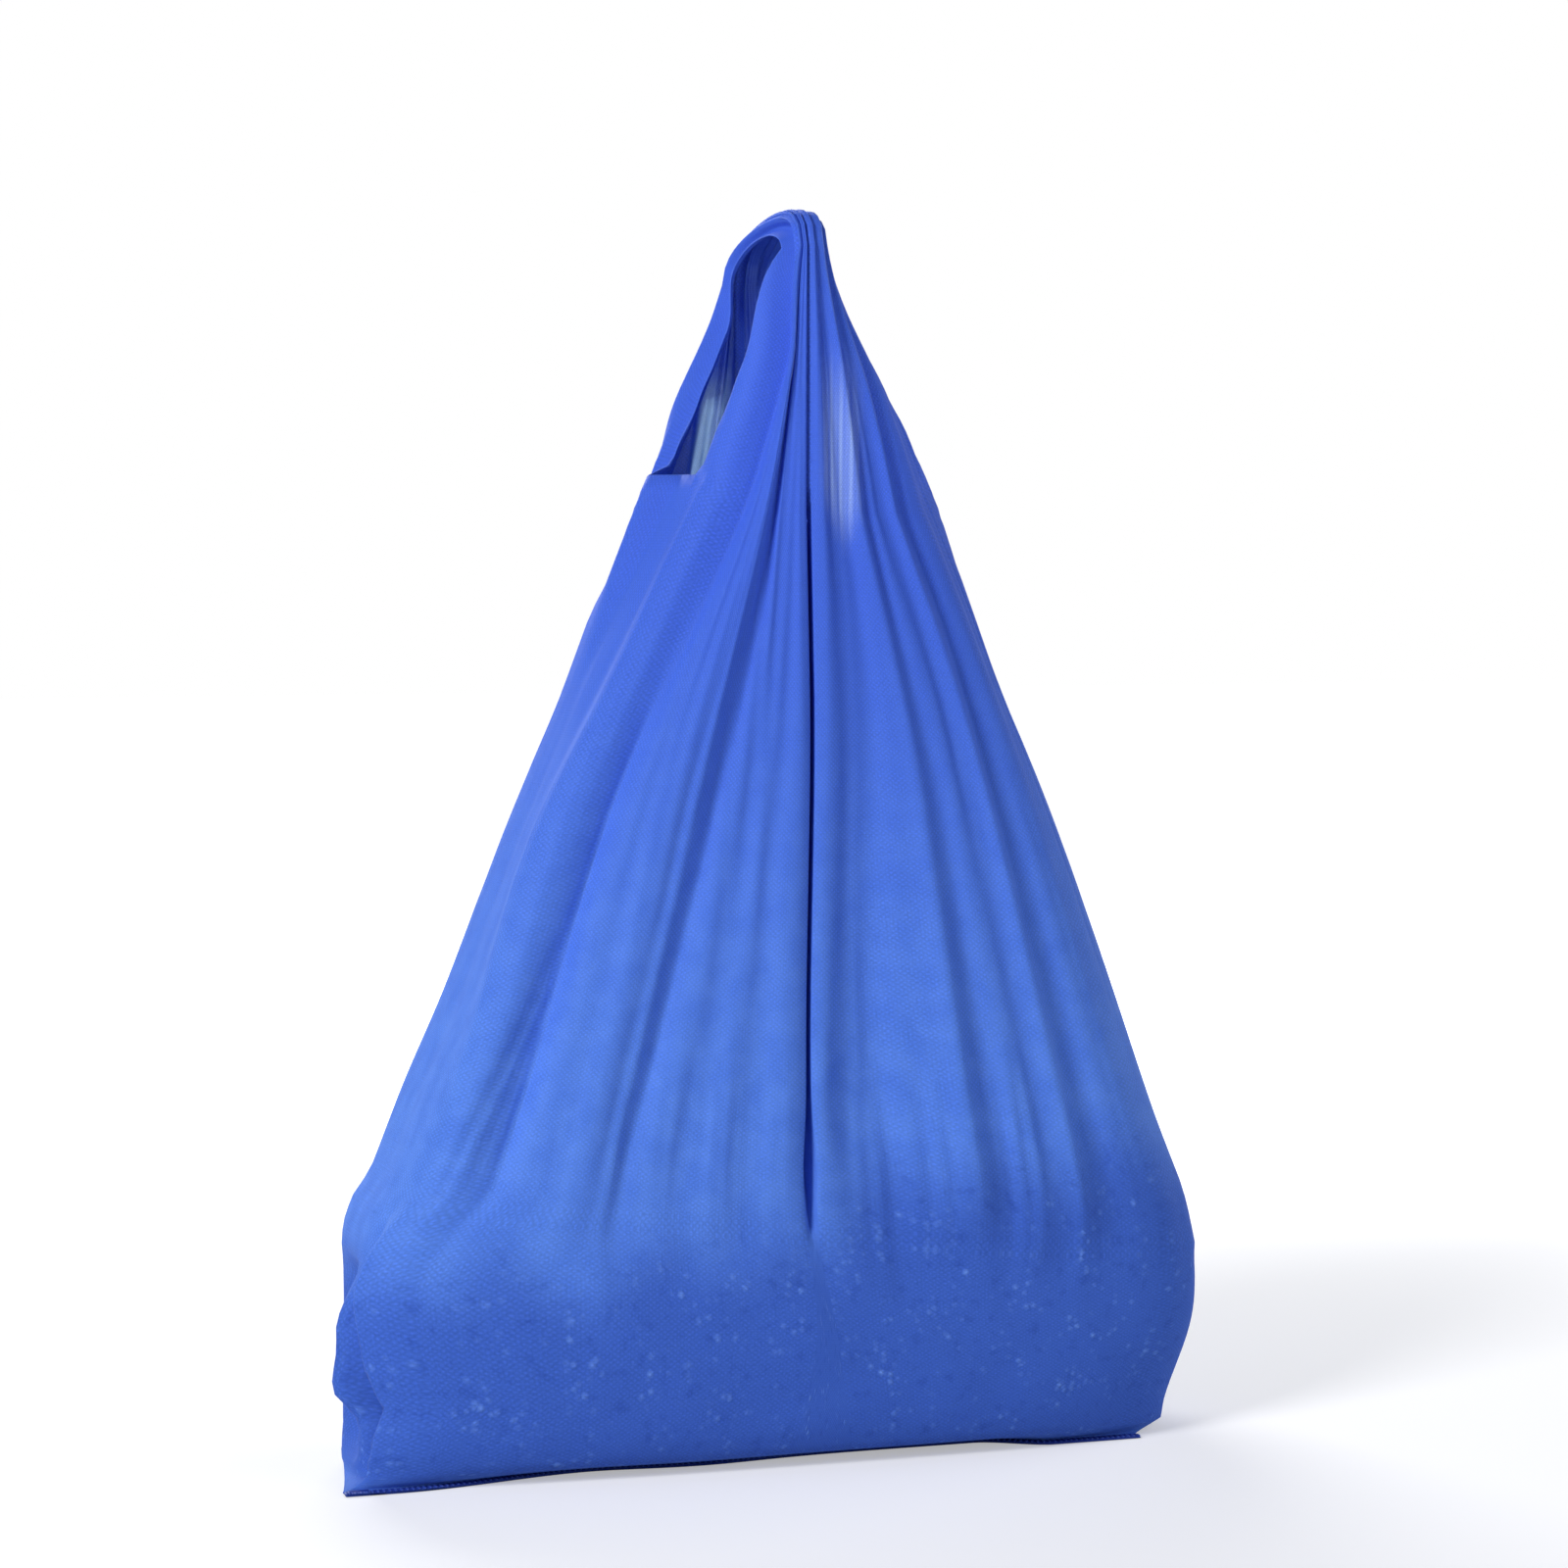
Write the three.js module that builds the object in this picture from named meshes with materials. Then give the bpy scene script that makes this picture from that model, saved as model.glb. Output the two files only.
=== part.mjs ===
import * as THREE from 'three';

// A vest carrier bag of thin non-woven cloth, filled at the base and gathered at the handles.
// The front faces -Y, the width runs along X, and the flat base stands on Z = 0.

// Driving dimensions of the cloth, in millimetres
const PANEL_WIDTH = 366; // front and back panel, from crease to crease
const WALL = 0.6; // thickness of the cloth
const SEAM_FIN = 6; // welded fin along the bottom, from its tip to its root
const GUSSET_CUT = 40; // width of the U-cut through each gusset
const CUT_RADIUS = 9; // rounded lower corners of that cut

// Driving dimensions of the filled base
const LOAD_DEPTH = 140; // front to back at the fullest level
const LOAD_HEIGHT = 95; // floor to the shoulder
const LOAD_SWELL = 5; // how far the walls swell between the hem and the shoulder
const SEAM_OFFSET = 30; // root of the fin, in front of the middle of the base
const HEM_LIFT = 7; // front lower edge, above the floor
const HEM_INSET = 6; // front lower edge, behind the wall above it
const BASE_INSET = 12; // back edge of the flat base, in front of the wall above it
const TUCK_DEPTH = 32; // inward tuck of each gusset between the seam and the shoulder

// Driving dimensions of the gathered cloth above the shoulder
const MOUTH_HEIGHT = 396; // floor to the bottom of the U-cut in the panels
const MOUTH_SPAN = 100; // width of the gathered cloth at that level
const GUSSET_LIFT = 16; // U-cut in the gussets, above the U-cut in the panels
const GATHER_HEIGHT = 506; // floor to the bunch of the two front handle strips
const BACK_DROP = 12; // bunch of the two back handle strips, below the front one
const GATHER_SPAN = 19; // width of a bunch
const GATHER_DEPTH = 14; // depth of a bunch
const GRIP_LENGTH = 92; // outside of the front bunch to the outside of the back bunch
const GRIP_RISE = 10; // arch of the handles between the two bunches
const FOLD_DEPTH = 4.5; // depth of the long folds at mouth level
const PLEAT_DEPTH = 34; // depth of the centre pleats at mouth level
const PLEAT_GAP = 2.4; // width of the slit in front of a centre pleat
const PLEAT_SWELL = 3; // extra half width of a centre pleat behind its slit
const MOUTH_DROOP = 9; // slack cloth in a centre pleat, below the bottom of the U-cut
const LAP_WIDTH = 6; // edge of the right handle, past the middle behind the left handle
const LAP_DROP = 5; // that edge, behind the outside of the left handle

// Levels, as shares of the height of the stretch that they cross
const WALL_LEVELS = [0.09, 0.28, 0.52, 0.78, 1];
const GATHER_LEVELS = [0.06, 0.14, 0.25, 0.39, 0.54, 0.69, 0.84, 1];
const STRIP_LEVELS = [0.03, 0.09, 0.22, 0.4, 0.6, 0.8, 1];
const GRIP_STEPS = 8;

// Roundness of a level seen from above: a high power is nearer to a rectangle
const HEM_POWER = 3;
const SEAM_TAPER = 0.25; // how bluntly the fin ends at the gussets
const SHOULDER_POWER = 3.6;
const MOUTH_POWER = 3;

// How the forms change along the cloth, as shares or powers
const END_SWELL = 0.7; // swell of the filled ends, of the swell of the walls
const TUCK_TOP = 0.8; // top of the gusset tucks, of the height of the shoulder
const TUCK_EDGE = 0.25; // tuck left at the edge of a gusset cut
const SEAM_DRIFT = 1.5; // how soon the middle of a level comes back from the seam
const SEAM_LIP = 8; // plain cloth each side of the middle at the seam, in slit widths
const WELD_LIFT = 2.5; // inside of the front panel at the weld, in thicknesses of cloth
const FOLD_RISE = 0.8; // how soon the long folds deepen above the shoulder
const PLEAT_RISE = 0.7; // how soon the centre pleats deepen above the shoulder
const PLEAT_CLOSE = 3; // how late the two layers of a centre pleat meet
const LIFT_START = 0.7; // where the gussets start to rise towards their cut
const BUNCH_FOLD = 0.15; // depth of the long folds left at the bunches
const BUNCH_GAP = 0.7; // slit and lap depth left at the bunches
const BUNCH_LAP = 0.5; // lap width left at the bunches
const GRIP_SQUEEZE = 0.3; // depth that the arch of the grip loses at its top

// Stations across a quarter of the cloth, from the middle of a gusset to the middle of a panel:
// the stretch, the share of that stretch, and the share of the fold depth
const GUSSET_STATIONS = [
  ['cut', 0, 1.7],
  ['cut', 0.55, 1],
  ['strip', 0, 0.4],
  ['strip', 0.35, 0],
  ['strip', 0.7, 0.5],
];
const PLEAT_STATIONS = [
  ['pleat', 0, 0],
  ['pleat', 0.3, 0],
  ['pleat', 0.6, 0],
  ['pleat', 0.85, 0],
  ['pleat', 1, 0],
];
const BROAD_FOLDS = [
  ['panel', 0, 0.2],
  ['panel', 0.08, 0.9],
  ['panel', 0.17, 0],
  ['panel', 0.29, 0.2],
  ['panel', 0.4, 1],
  ['panel', 0.51, 0],
  ['panel', 0.63, 0.3],
  ['panel', 0.76, 0.6],
  ['panel', 0.88, 0],
];
const CLOSE_FOLDS = [
  ['panel', 0, 0.1],
  ['panel', 0.08, 0],
  ['panel', 0.16, 1],
  ['panel', 0.27, 0.3],
  ['panel', 0.36, 0],
  ['panel', 0.455, 1],
  ['panel', 0.57, 0.1],
  ['panel', 0.73, 0.6],
  ['panel', 0.88, 0],
];

// The four quarters: which way they lie along X and Y, and how their panel folds
const QUARTERS = [
  { side: -1, face: -1, folds: BROAD_FOLDS },
  { side: 1, face: -1, folds: CLOSE_FOLDS },
  { side: 1, face: 1, folds: BROAD_FOLDS },
  { side: -1, face: 1, folds: CLOSE_FOLDS },
];
for (const quarter of QUARTERS) {
  quarter.stations = [...GUSSET_STATIONS, ...quarter.folds, ...PLEAT_STATIONS];
  const lip = quarter.stations.length - PLEAT_STATIONS.length;
  quarter.stripEnd = quarter.side > 0 ? lip + 1 : lip;
}
const STATION_COUNT = QUARTERS[0].stations.length;
const LAST = STATION_COUNT - 1;
const RING_COUNT = 4 * LAST;
const STRIP_START = GUSSET_STATIONS.findIndex(([stretch]) => stretch === 'strip');

const { lerp, smoothstep } = THREE.MathUtils;

/** Share along the edge of a level at which its long side turns into its short side. */
function cornerShare(power) {
  return 2 ** (-1 / power);
}

/** Height of a rounded level over one axis, as a share of the other axis. */
function roundShare(share, power) {
  return Math.max(0, 1 - Math.abs(share) ** power) ** (1 / power);
}

/** Outward distance of the filled wall from the middle at a share of its height. */
function wallOut(share) {
  return LOAD_DEPTH / 2 - LOAD_SWELL * (2 * share - 1) ** 2;
}

/** Distance of the filled ends from the middle at a height above the floor. */
function endOut(height) {
  const share = Math.min(1, height / LOAD_HEIGHT);
  return PANEL_WIDTH / 2 + END_SWELL * LOAD_SWELL * Math.sin(Math.PI * share);
}

/** Inward tuck of the gussets at a height above the floor. */
function tuckAt(height) {
  const share = (height - HEM_LIFT) / (TUCK_TOP * LOAD_HEIGHT - HEM_LIFT);
  return TUCK_DEPTH * Math.sin(Math.PI * Math.min(1, Math.max(0, share)));
}

/** Section of one panel from the root of the fin to the shoulder, as points in Y and Z. */
function panelProfile(face) {
  const root = new THREE.Vector2(-SEAM_OFFSET, face < 0 ? 2 * WALL : 0);
  const lift = face < 0 ? HEM_LIFT : 0;
  const inset = face < 0 ? HEM_INSET : BASE_INSET;
  const edge = new THREE.Vector2(face * (wallOut(0) - inset), lift);
  const wall = WALL_LEVELS.map(
    (share) => new THREE.Vector2(face * wallOut(share), lerp(lift, LOAD_HEIGHT, share)),
  );
  return [root, root.clone().lerp(edge, 0.5), edge, ...wall];
}

/** The same section moved towards the inside of the bag by the thickness of the cloth. */
function insideProfile(points, face) {
  return points.map((point, index) => {
    const before = points[Math.max(0, index - 1)];
    const after = points[Math.min(points.length - 1, index + 1)];
    const along = after.clone().sub(before).normalize();
    const inward = new THREE.Vector2(face < 0 ? along.y : -along.y, face < 0 ? -along.x : along.x);
    return point.clone().addScaledVector(inward, WALL);
  });
}

const PROFILES = [-1, 1].map((face) => {
  const outside = panelProfile(face);
  return { outside, inside: insideProfile(outside, face) };
});
const PROFILE_COUNT = PROFILES[0].outside.length;

/** Section of the middle of a gusset from the fin to the shoulder, as points in X and Z. */
function gussetProfile() {
  const [front, back] = PROFILES.map((profile) => profile.outside);
  return front.map((point, index) => {
    const height = (point.y + back[index].y) / 2;
    return new THREE.Vector2(endOut(height) - tuckAt(height), height);
  });
}

const GUSSET_OUTSIDE = gussetProfile();
const GUSSET_INSIDE = insideProfile(GUSSET_OUTSIDE, 1);

// What a level has unless it says otherwise: no tucks, folds, pleats, lifted gussets or lapped edges
const PLAIN_LEVEL = { tuck: 0, fold: 0, pleat: 0, lift: 0, lap: 0, lapWidth: 0, lapDrop: 0, taper: 1 };

/** Levels of the filled base, from the root of the fin to the shoulder. */
function baseLevels(inside) {
  const inset = inside ? WALL : 0;
  const [front, back] = PROFILES.map((profile) => (inside ? profile.inside : profile.outside));
  const gusset = inside ? GUSSET_INSIDE : GUSSET_OUTSIDE;
  return front.map((point, index) => {
    const share = index / (PROFILE_COUNT - 1);
    const halfWidth = endOut(GUSSET_OUTSIDE[index].y) - inset;
    const level = {
      ...PLAIN_LEVEL,
      inset,
      halfWidth,
      middle: -SEAM_OFFSET * (1 - share) ** SEAM_DRIFT,
      out: [point.x, back[index].x],
      height: [point.y, back[index].y],
      sideHeight: gusset[index].y,
      power: lerp(HEM_POWER, SHOULDER_POWER, share),
      tuck: halfWidth - gusset[index].x,
      lip: SEAM_LIP * PLEAT_GAP * (1 - share) + PLEAT_GAP,
      cut: CUT_SHARE,
    };
    if (index > 0) {
      return level;
    }
    const middle = inside ? WALL - SEAM_OFFSET : -SEAM_OFFSET;
    const height = inside ? [WELD_LIFT * WALL, WALL] : [2 * WALL, 0];
    const sideHeight = (height[0] + height[1]) / 2;
    return { ...level, middle, out: [middle, middle], height, sideHeight, tuck: 0, taper: SEAM_TAPER };
  });
}

/** Free edge of the welded fin, in front of its root. */
function finLevel() {
  const [root] = baseLevels(false);
  const tip = -SEAM_OFFSET - SEAM_FIN;
  return { ...root, middle: tip, out: [tip, tip] };
}

const MOUTH_DEPTH = GRIP_LENGTH / 2;
const SIDE_REACH = MOUTH_DEPTH * cornerShare(MOUTH_POWER);
const CUT_SHARE = GUSSET_CUT / 2 / SIDE_REACH;
const BUNCH_SHARE = (MOUTH_DEPTH - GATHER_DEPTH) / SIDE_REACH;

/** Share of the gusset inside the rounded corner of its cut, at a height above the cut. */
function cornerTrim(height) {
  const below = Math.max(0, CUT_RADIUS - height);
  return (CUT_RADIUS - Math.sqrt(CUT_RADIUS ** 2 - below ** 2)) / SIDE_REACH;
}

/** Level of the gathered cloth at a share of the way from the shoulder to the mouth. */
function gatherLevel(share, inside) {
  const inset = inside ? WALL : 0;
  const height = lerp(LOAD_HEIGHT, MOUTH_HEIGHT, share);
  const out = lerp(wallOut(1), MOUTH_DEPTH, share) - inset;
  return {
    ...PLAIN_LEVEL,
    inset,
    halfWidth: lerp(PANEL_WIDTH, MOUTH_SPAN, share) / 2 - inset,
    middle: 0,
    out: [-out, out],
    height: [height, height],
    sideHeight: height,
    power: lerp(SHOULDER_POWER, MOUTH_POWER, share),
    fold: FOLD_DEPTH * share ** FOLD_RISE,
    lip: PLEAT_GAP / 2,
    pleat: PLEAT_DEPTH * share ** PLEAT_RISE,
    cut: CUT_SHARE - (share < 1 ? 0 : cornerTrim(0)),
    lift: smoothstep(share, LIFT_START, 1),
  };
}

/** Level of the handle strips at a share of the way from the mouth to the bunches. */
function stripLevel(share, inside) {
  const inset = inside ? WALL : 0;
  const mouth = gatherLevel(1, inside);
  const height = [GATHER_HEIGHT, GATHER_HEIGHT - BACK_DROP].map((top) => lerp(MOUTH_HEIGHT, top, share));
  return {
    ...mouth,
    halfWidth: lerp(MOUTH_SPAN, GATHER_SPAN, share) / 2 - inset,
    height,
    sideHeight: (height[0] + height[1]) / 2,
    fold: FOLD_DEPTH * lerp(1, BUNCH_FOLD, share),
    lip: (PLEAT_GAP / 2) * lerp(1, BUNCH_GAP, share),
    cut: lerp(CUT_SHARE, BUNCH_SHARE, share) - cornerTrim(share * (GATHER_HEIGHT - MOUTH_HEIGHT)),
    lift: 1 - share,
    lap: smoothstep(share, 0, STRIP_LEVELS[1]),
    lapWidth: LAP_WIDTH * lerp(1, BUNCH_LAP, share),
    lapDrop: LAP_DROP * lerp(1, BUNCH_GAP, share),
  };
}

/** Point of the cloth at one station of a quarter on one level. */
function clothPoint(quarter, station, level) {
  const [stretch, share, foldShare] = station;
  const faceIndex = quarter.face < 0 ? 0 : 1;
  const depth = Math.abs(level.out[faceIndex] - level.middle);
  const corner = cornerShare(level.power);
  const faceHeight = level.height[faceIndex];
  const lift = level.lift * GUSSET_LIFT;
  let across;
  let out;
  let height = faceHeight;
  if (stretch === 'pleat') {
    const lap = share > 0 ? level.lap : 0;
    const swell = PLEAT_SWELL * (level.pleat / PLEAT_DEPTH);
    across = level.lip * (1 - share) + swell * Math.sin(Math.PI * share);
    across = lerp(across + level.inset * (1 - share ** PLEAT_CLOSE), -level.lapWidth, lap);
    height -= MOUTH_DROOP * level.lift * Math.sin((Math.PI / 2) * share);
    out = depth * roundShare(level.lip / level.halfWidth, level.power);
    out -= lerp(level.pleat * share, level.lapDrop, lap);
  } else if (stretch === 'panel') {
    across = lerp(corner * level.halfWidth, level.lip + level.inset, share);
    out = depth * roundShare(across / level.halfWidth, level.power);
  } else {
    const around = stretch === 'cut' ? share * level.cut : lerp(level.cut, 1, share);
    across = level.halfWidth * roundShare(around * corner, level.power);
    across -= level.tuck * (stretch === 'cut' ? lerp(1, TUCK_EDGE, share) : lerp(TUCK_EDGE, 0, share));
    out = depth * around * corner;
    height = lerp(level.sideHeight, faceHeight, around ** level.taper);
    height += lift * (stretch === 'cut' ? 1 : 1 - share);
  }
  const fold = foldShare * level.fold;
  if (fold > 0) {
    const slope = new THREE.Vector2(
      (across / level.halfWidth) ** (level.power - 1) / level.halfWidth,
      (out / depth) ** (level.power - 1) / depth,
    ).normalize();
    across -= fold * slope.x;
    out -= fold * slope.y;
  }
  return new THREE.Vector3(quarter.side * across, level.middle + quarter.face * out, height);
}

/** Quarter and station at one place of a level, counted round it against the clock from above. */
function ringPlace(place) {
  const turn = Math.floor(place / LAST);
  const step = place - turn * LAST;
  return [QUARTERS[turn], turn % 2 === 0 ? step : LAST - step];
}

/** Place round a level of one station of a quarter. */
function placeOf(quarterIndex, station) {
  const start = LAST * (quarterIndex + (quarterIndex % 2));
  const place = quarterIndex % 2 === 0 ? start + station : start - station;
  return place % RING_COUNT;
}

const positions = [];
const triangles = [];

/** Adds a point and returns its number. */
function addPoint(point) {
  positions.push(point.x, point.y, point.z);
  return positions.length / 3 - 1;
}

/** Adds a four-sided face, turned round where asked, without corners that coincide. */
function addFace(corners, turned) {
  const loop = corners.filter((corner, index) => corner !== corners[(index + 1) % corners.length]);
  for (let index = 1; index < loop.length - 1; index += 1) {
    const pair = turned ? [loop[index + 1], loop[index]] : [loop[index], loop[index + 1]];
    triangles.push(loop[0], ...pair);
  }
}

/** Adds one closed ring of points for a level. */
function addRing(level) {
  return Array.from({ length: RING_COUNT }, (_, place) => {
    const [quarter, station] = ringPlace(place);
    return addPoint(clothPoint(quarter, quarter.stations[station], level));
  });
}

/** Adds the faces between the rings of one skin of the cloth. */
function addTube(rings, inside) {
  for (let row = 0; row < rings.length - 1; row += 1) {
    for (let place = 0; place < RING_COUNT; place += 1) {
      const next = (place + 1) % RING_COUNT;
      const [low, high] = [rings[row], rings[row + 1]];
      addFace([low[place], low[next], high[next], high[place]], inside);
    }
  }
}

/** Closes the lowest ring of a skin by joining the front panel to the back panel. */
function addSeam(ring, inside) {
  const pairs = [
    [0, 3, true],
    [1, 2, false],
  ];
  for (const [front, back, turned] of pairs) {
    for (let station = 0; station < LAST; station += 1) {
      const corners = [
        ring[placeOf(front, station)],
        ring[placeOf(front, station + 1)],
        ring[placeOf(back, station + 1)],
        ring[placeOf(back, station)],
      ];
      addFace(corners, turned !== inside);
    }
  }
}

/** Point of the grip between the front and back bunches at a share of the arch. */
function gripPoint(front, back, share) {
  const turn = Math.PI * share;
  const reach = MOUTH_DEPTH - GATHER_DEPTH;
  const outFront = -front.y - reach;
  const outBack = back.y - reach;
  const squeeze = 1 - GRIP_SQUEEZE * Math.sin(turn);
  const out = lerp(outFront, outBack, share) * squeeze;
  const normal = new THREE.Vector2(-Math.cos(turn) / reach, Math.sin(turn) / GRIP_RISE).normalize();
  return new THREE.Vector3(
    lerp(front.x, back.x, share),
    -reach * Math.cos(turn) + out * normal.x,
    lerp(front.z, back.z, smoothstep(share, 0, 1)) + GRIP_RISE * Math.sin(turn) + out * normal.y,
  );
}

/** Adds the points of one handle, from its front strip over the grip to its back strip. */
function addHandle(frontIndex, backIndex, ring, inside) {
  const rows = [];
  const strips = STRIP_LEVELS.map((share) => stripLevel(share, inside));
  const count = QUARTERS[frontIndex].stripEnd - STRIP_START + 1;
  const stations = Array.from({ length: count }, (_, index) => STRIP_START + index);
  const pointOn = (index, station, level) =>
    clothPoint(QUARTERS[index], QUARTERS[index].stations[station], level);
  rows.push(stations.map((station) => ring[placeOf(frontIndex, station)]));
  for (const level of strips) {
    rows.push(stations.map((station) => addPoint(pointOn(frontIndex, station, level))));
  }
  const top = strips[strips.length - 1];
  for (let step = 1; step < GRIP_STEPS; step += 1) {
    rows.push(
      stations.map((station) => {
        const front = pointOn(frontIndex, station, top);
        const back = pointOn(backIndex, station, top);
        return addPoint(gripPoint(front, back, step / GRIP_STEPS));
      }),
    );
  }
  for (const level of strips.toReversed()) {
    rows.push(stations.map((station) => addPoint(pointOn(backIndex, station, level))));
  }
  rows.push(stations.map((station) => ring[placeOf(backIndex, station)]));
  return rows;
}

/** Adds the faces of one handle, with the cut edges along both of its sides. */
function addHandleFaces(outer, inner, turned) {
  const last = outer[0].length - 1;
  for (let row = 0; row < outer.length - 1; row += 1) {
    for (let column = 0; column < last; column += 1) {
      for (const [rows, inside] of [
        [outer, false],
        [inner, true],
      ]) {
        const low = rows[row];
        const high = rows[row + 1];
        addFace([low[column], low[column + 1], high[column + 1], high[column]], turned !== inside);
      }
    }
    addFace([outer[row][0], outer[row + 1][0], inner[row + 1][0], inner[row][0]], turned);
    addFace([outer[row][last], outer[row + 1][last], inner[row + 1][last], inner[row][last]], !turned);
  }
}

/** Adds the cut edge of the mouth and of the gussets between the handles. */
function addMouthEdge(outer, inner) {
  for (let place = 0; place < RING_COUNT; place += 1) {
    const next = (place + 1) % RING_COUNT;
    const { stripEnd } = QUARTERS[Math.floor(place / LAST)];
    const stations = [ringPlace(place)[1], ringPlace(next)[1]];
    const inStrip = stations.every((station) => station >= STRIP_START && station <= stripEnd);
    if (!inStrip) {
      addFace([outer[place], outer[next], inner[next], inner[place]], false);
    }
  }
}

/** Builds the whole bag as one closed skin of cloth. */
function buildBag() {
  const skins = [false, true].map((inside) => {
    const gathered = GATHER_LEVELS.map((share) => gatherLevel(share, inside));
    const levels = [...baseLevels(inside), ...gathered];
    const rings = (inside ? levels : [finLevel(), ...levels]).map(addRing);
    addTube(rings, inside);
    addSeam(rings[0], inside);
    return rings[rings.length - 1];
  });
  const handles = [
    [0, 3, false],
    [1, 2, true],
  ];
  for (const [front, back, turned] of handles) {
    const [outer, inner] = skins.map((ring, index) => addHandle(front, back, ring, index === 1));
    addHandleFaces(outer, inner, turned);
  }
  addMouthEdge(...skins);
  const geometry = new THREE.BufferGeometry();
  geometry.setAttribute('position', new THREE.Float32BufferAttribute(positions, 3));
  geometry.setIndex(triangles);
  geometry.computeBoundingBox();
  const { min, max } = geometry.boundingBox;
  geometry.translate(-(min.x + max.x) / 2, -(min.y + max.y) / 2, -min.z);
  geometry.computeVertexNormals();
  return geometry;
}

const cloth = new THREE.MeshStandardMaterial({ color: 0x3f66d6, roughness: 0.75, metalness: 0 });
const bag = new THREE.Mesh(buildBag(), cloth);
bag.name = 'bag';

const carrier = new THREE.Group();
carrier.add(bag);
export default carrier;
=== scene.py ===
"""Looks of a filled vest carrier bag of blue non-woven cloth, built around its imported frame."""

import logging
import math
from dataclasses import dataclass, field, replace
from enum import Enum

import bpy
import numpy as np
from bpy.types import ID, Material, Mesh, Node, NodeTree, Object, World
from bpy.types import NodeSocket as Socket
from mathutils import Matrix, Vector


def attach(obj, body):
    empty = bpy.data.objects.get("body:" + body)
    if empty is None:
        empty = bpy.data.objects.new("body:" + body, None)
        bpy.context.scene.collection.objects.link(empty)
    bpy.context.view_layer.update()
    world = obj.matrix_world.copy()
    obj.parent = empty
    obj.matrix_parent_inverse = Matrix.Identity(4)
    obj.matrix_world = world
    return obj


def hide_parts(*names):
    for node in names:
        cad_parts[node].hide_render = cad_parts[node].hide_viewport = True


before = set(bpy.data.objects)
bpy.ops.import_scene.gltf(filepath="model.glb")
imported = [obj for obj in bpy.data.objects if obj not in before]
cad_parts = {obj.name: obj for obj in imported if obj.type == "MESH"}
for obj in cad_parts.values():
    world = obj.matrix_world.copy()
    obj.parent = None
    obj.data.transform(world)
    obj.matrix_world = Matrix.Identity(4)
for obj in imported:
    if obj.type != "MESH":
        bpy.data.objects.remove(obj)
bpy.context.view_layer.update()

LOG = logging.getLogger("carrier_bag")
MM = 0.001
FOLD_HEIGHTS = (130.0, 245.0, 370.0)
CREASE_RUN_OUT = 40.0
GATHER_HEIGHT = 506.0
CORNER_CUT = 0.25
FOOT_SEED = 70
TINY = 1e-9
POLYPROPYLENE_IOR = 1.49
# Length of a wave of Blender's wave texture at a scale of 1
WAVE_LENGTH = math.pi / 10
# Inputs of Blender's Map Range node, whose results run from 0 to 1 when they are left out
SPAN_INPUTS = ("Value", "From Min", "From Max", "To Min", "To Max")

Array = np.ndarray
Pair = tuple[float, float]
Triple = tuple[float, float, float]


class Stretch(Enum):
    """Stretches of cloth between the middle of a gusset and the middle of a panel."""

    CUT = "cut"
    STRIP = "strip"
    PANEL = "panel"
    PLEAT = "pleat"


def smooth(value: Array | float, low: float, high: float) -> Array:
    """Eases from 0 at a low limit to 1 at a high limit."""
    share = np.clip((np.asarray(value, dtype=float) - low) / (high - low), 0.0, 1.0)
    return share * share * (3 - 2 * share)


def mix(first: Array | float, second: Array | float, share: Array | float) -> Array:
    """Straight blend of two values."""
    return first + (second - first) * share


def bell(value: Array | float, middle: float, width: float) -> Array:
    """Rounded bump of height 1 about a middle value."""
    return np.exp(-(((value - middle) / width) ** 2))


def rounded(points: list[Pair], count: int, rounds: int = 3) -> Array:
    """Rounds the corners of an open line and divides it evenly.

    Args:
        points: Corners of the line.
        count: Number of points in the result.
        rounds: How often each corner is cut.

    Returns:
        Points along the rounded line.
    """
    line = np.array(points, dtype=float)
    for _ in range(rounds):
        cuts = [mix(line[:-1], line[1:], share) for share in (CORNER_CUT, 1 - CORNER_CUT)]
        inner = np.stack(cuts, axis=1).reshape(-1, 2)
        line = np.concatenate([line[:1], inner, line[-1:]])
    steps = np.concatenate([[0.0], np.cumsum(np.linalg.norm(np.diff(line, axis=0), axis=1))])
    places = np.linspace(0.0, steps[-1], count)
    return np.stack([np.interp(places, steps, line[:, axis]) for axis in range(2)], axis=1)


def ripple(across: Array, seed: int, low: float, high: float, terms: int = 7) -> Array:
    """Smooth uneven waves along one direction.

    Args:
        across: Where the waves are read.
        seed: Picks the phases and frequencies.
        low: Lowest frequency.
        high: Highest frequency.
        terms: Number of waves that are added.

    Returns:
        Heights of about -1 to 1.
    """
    chance = np.random.default_rng(seed)
    total = np.zeros_like(np.asarray(across, dtype=float))
    for _ in range(terms):
        frequency = chance.uniform(low, high)
        total = total + np.sin(2 * math.pi * (frequency * across + chance.random()))
    return total / math.sqrt(terms)


def lumps(x: Array, z: Array) -> Array:
    """Lumps of the filled part: two sizes of bent waves, with lengths in millimetres.

    Args:
        x: Places from left to right, in millimetres.
        z: Heights above the floor, in millimetres.

    Returns:
        Heights of the lumps, as shares of their depth.
    """
    large = np.sin(x / 15 + 0.9 * np.sin(z / 11)) * np.sin(z / 12 + 1.5 * np.sin(x / 23))
    small = np.sin(x / 7.3 + 2 + 0.8 * np.sin(z / 9)) * np.sin(z / 7.7 + x / 31)
    return large + 0.7 * small


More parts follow.
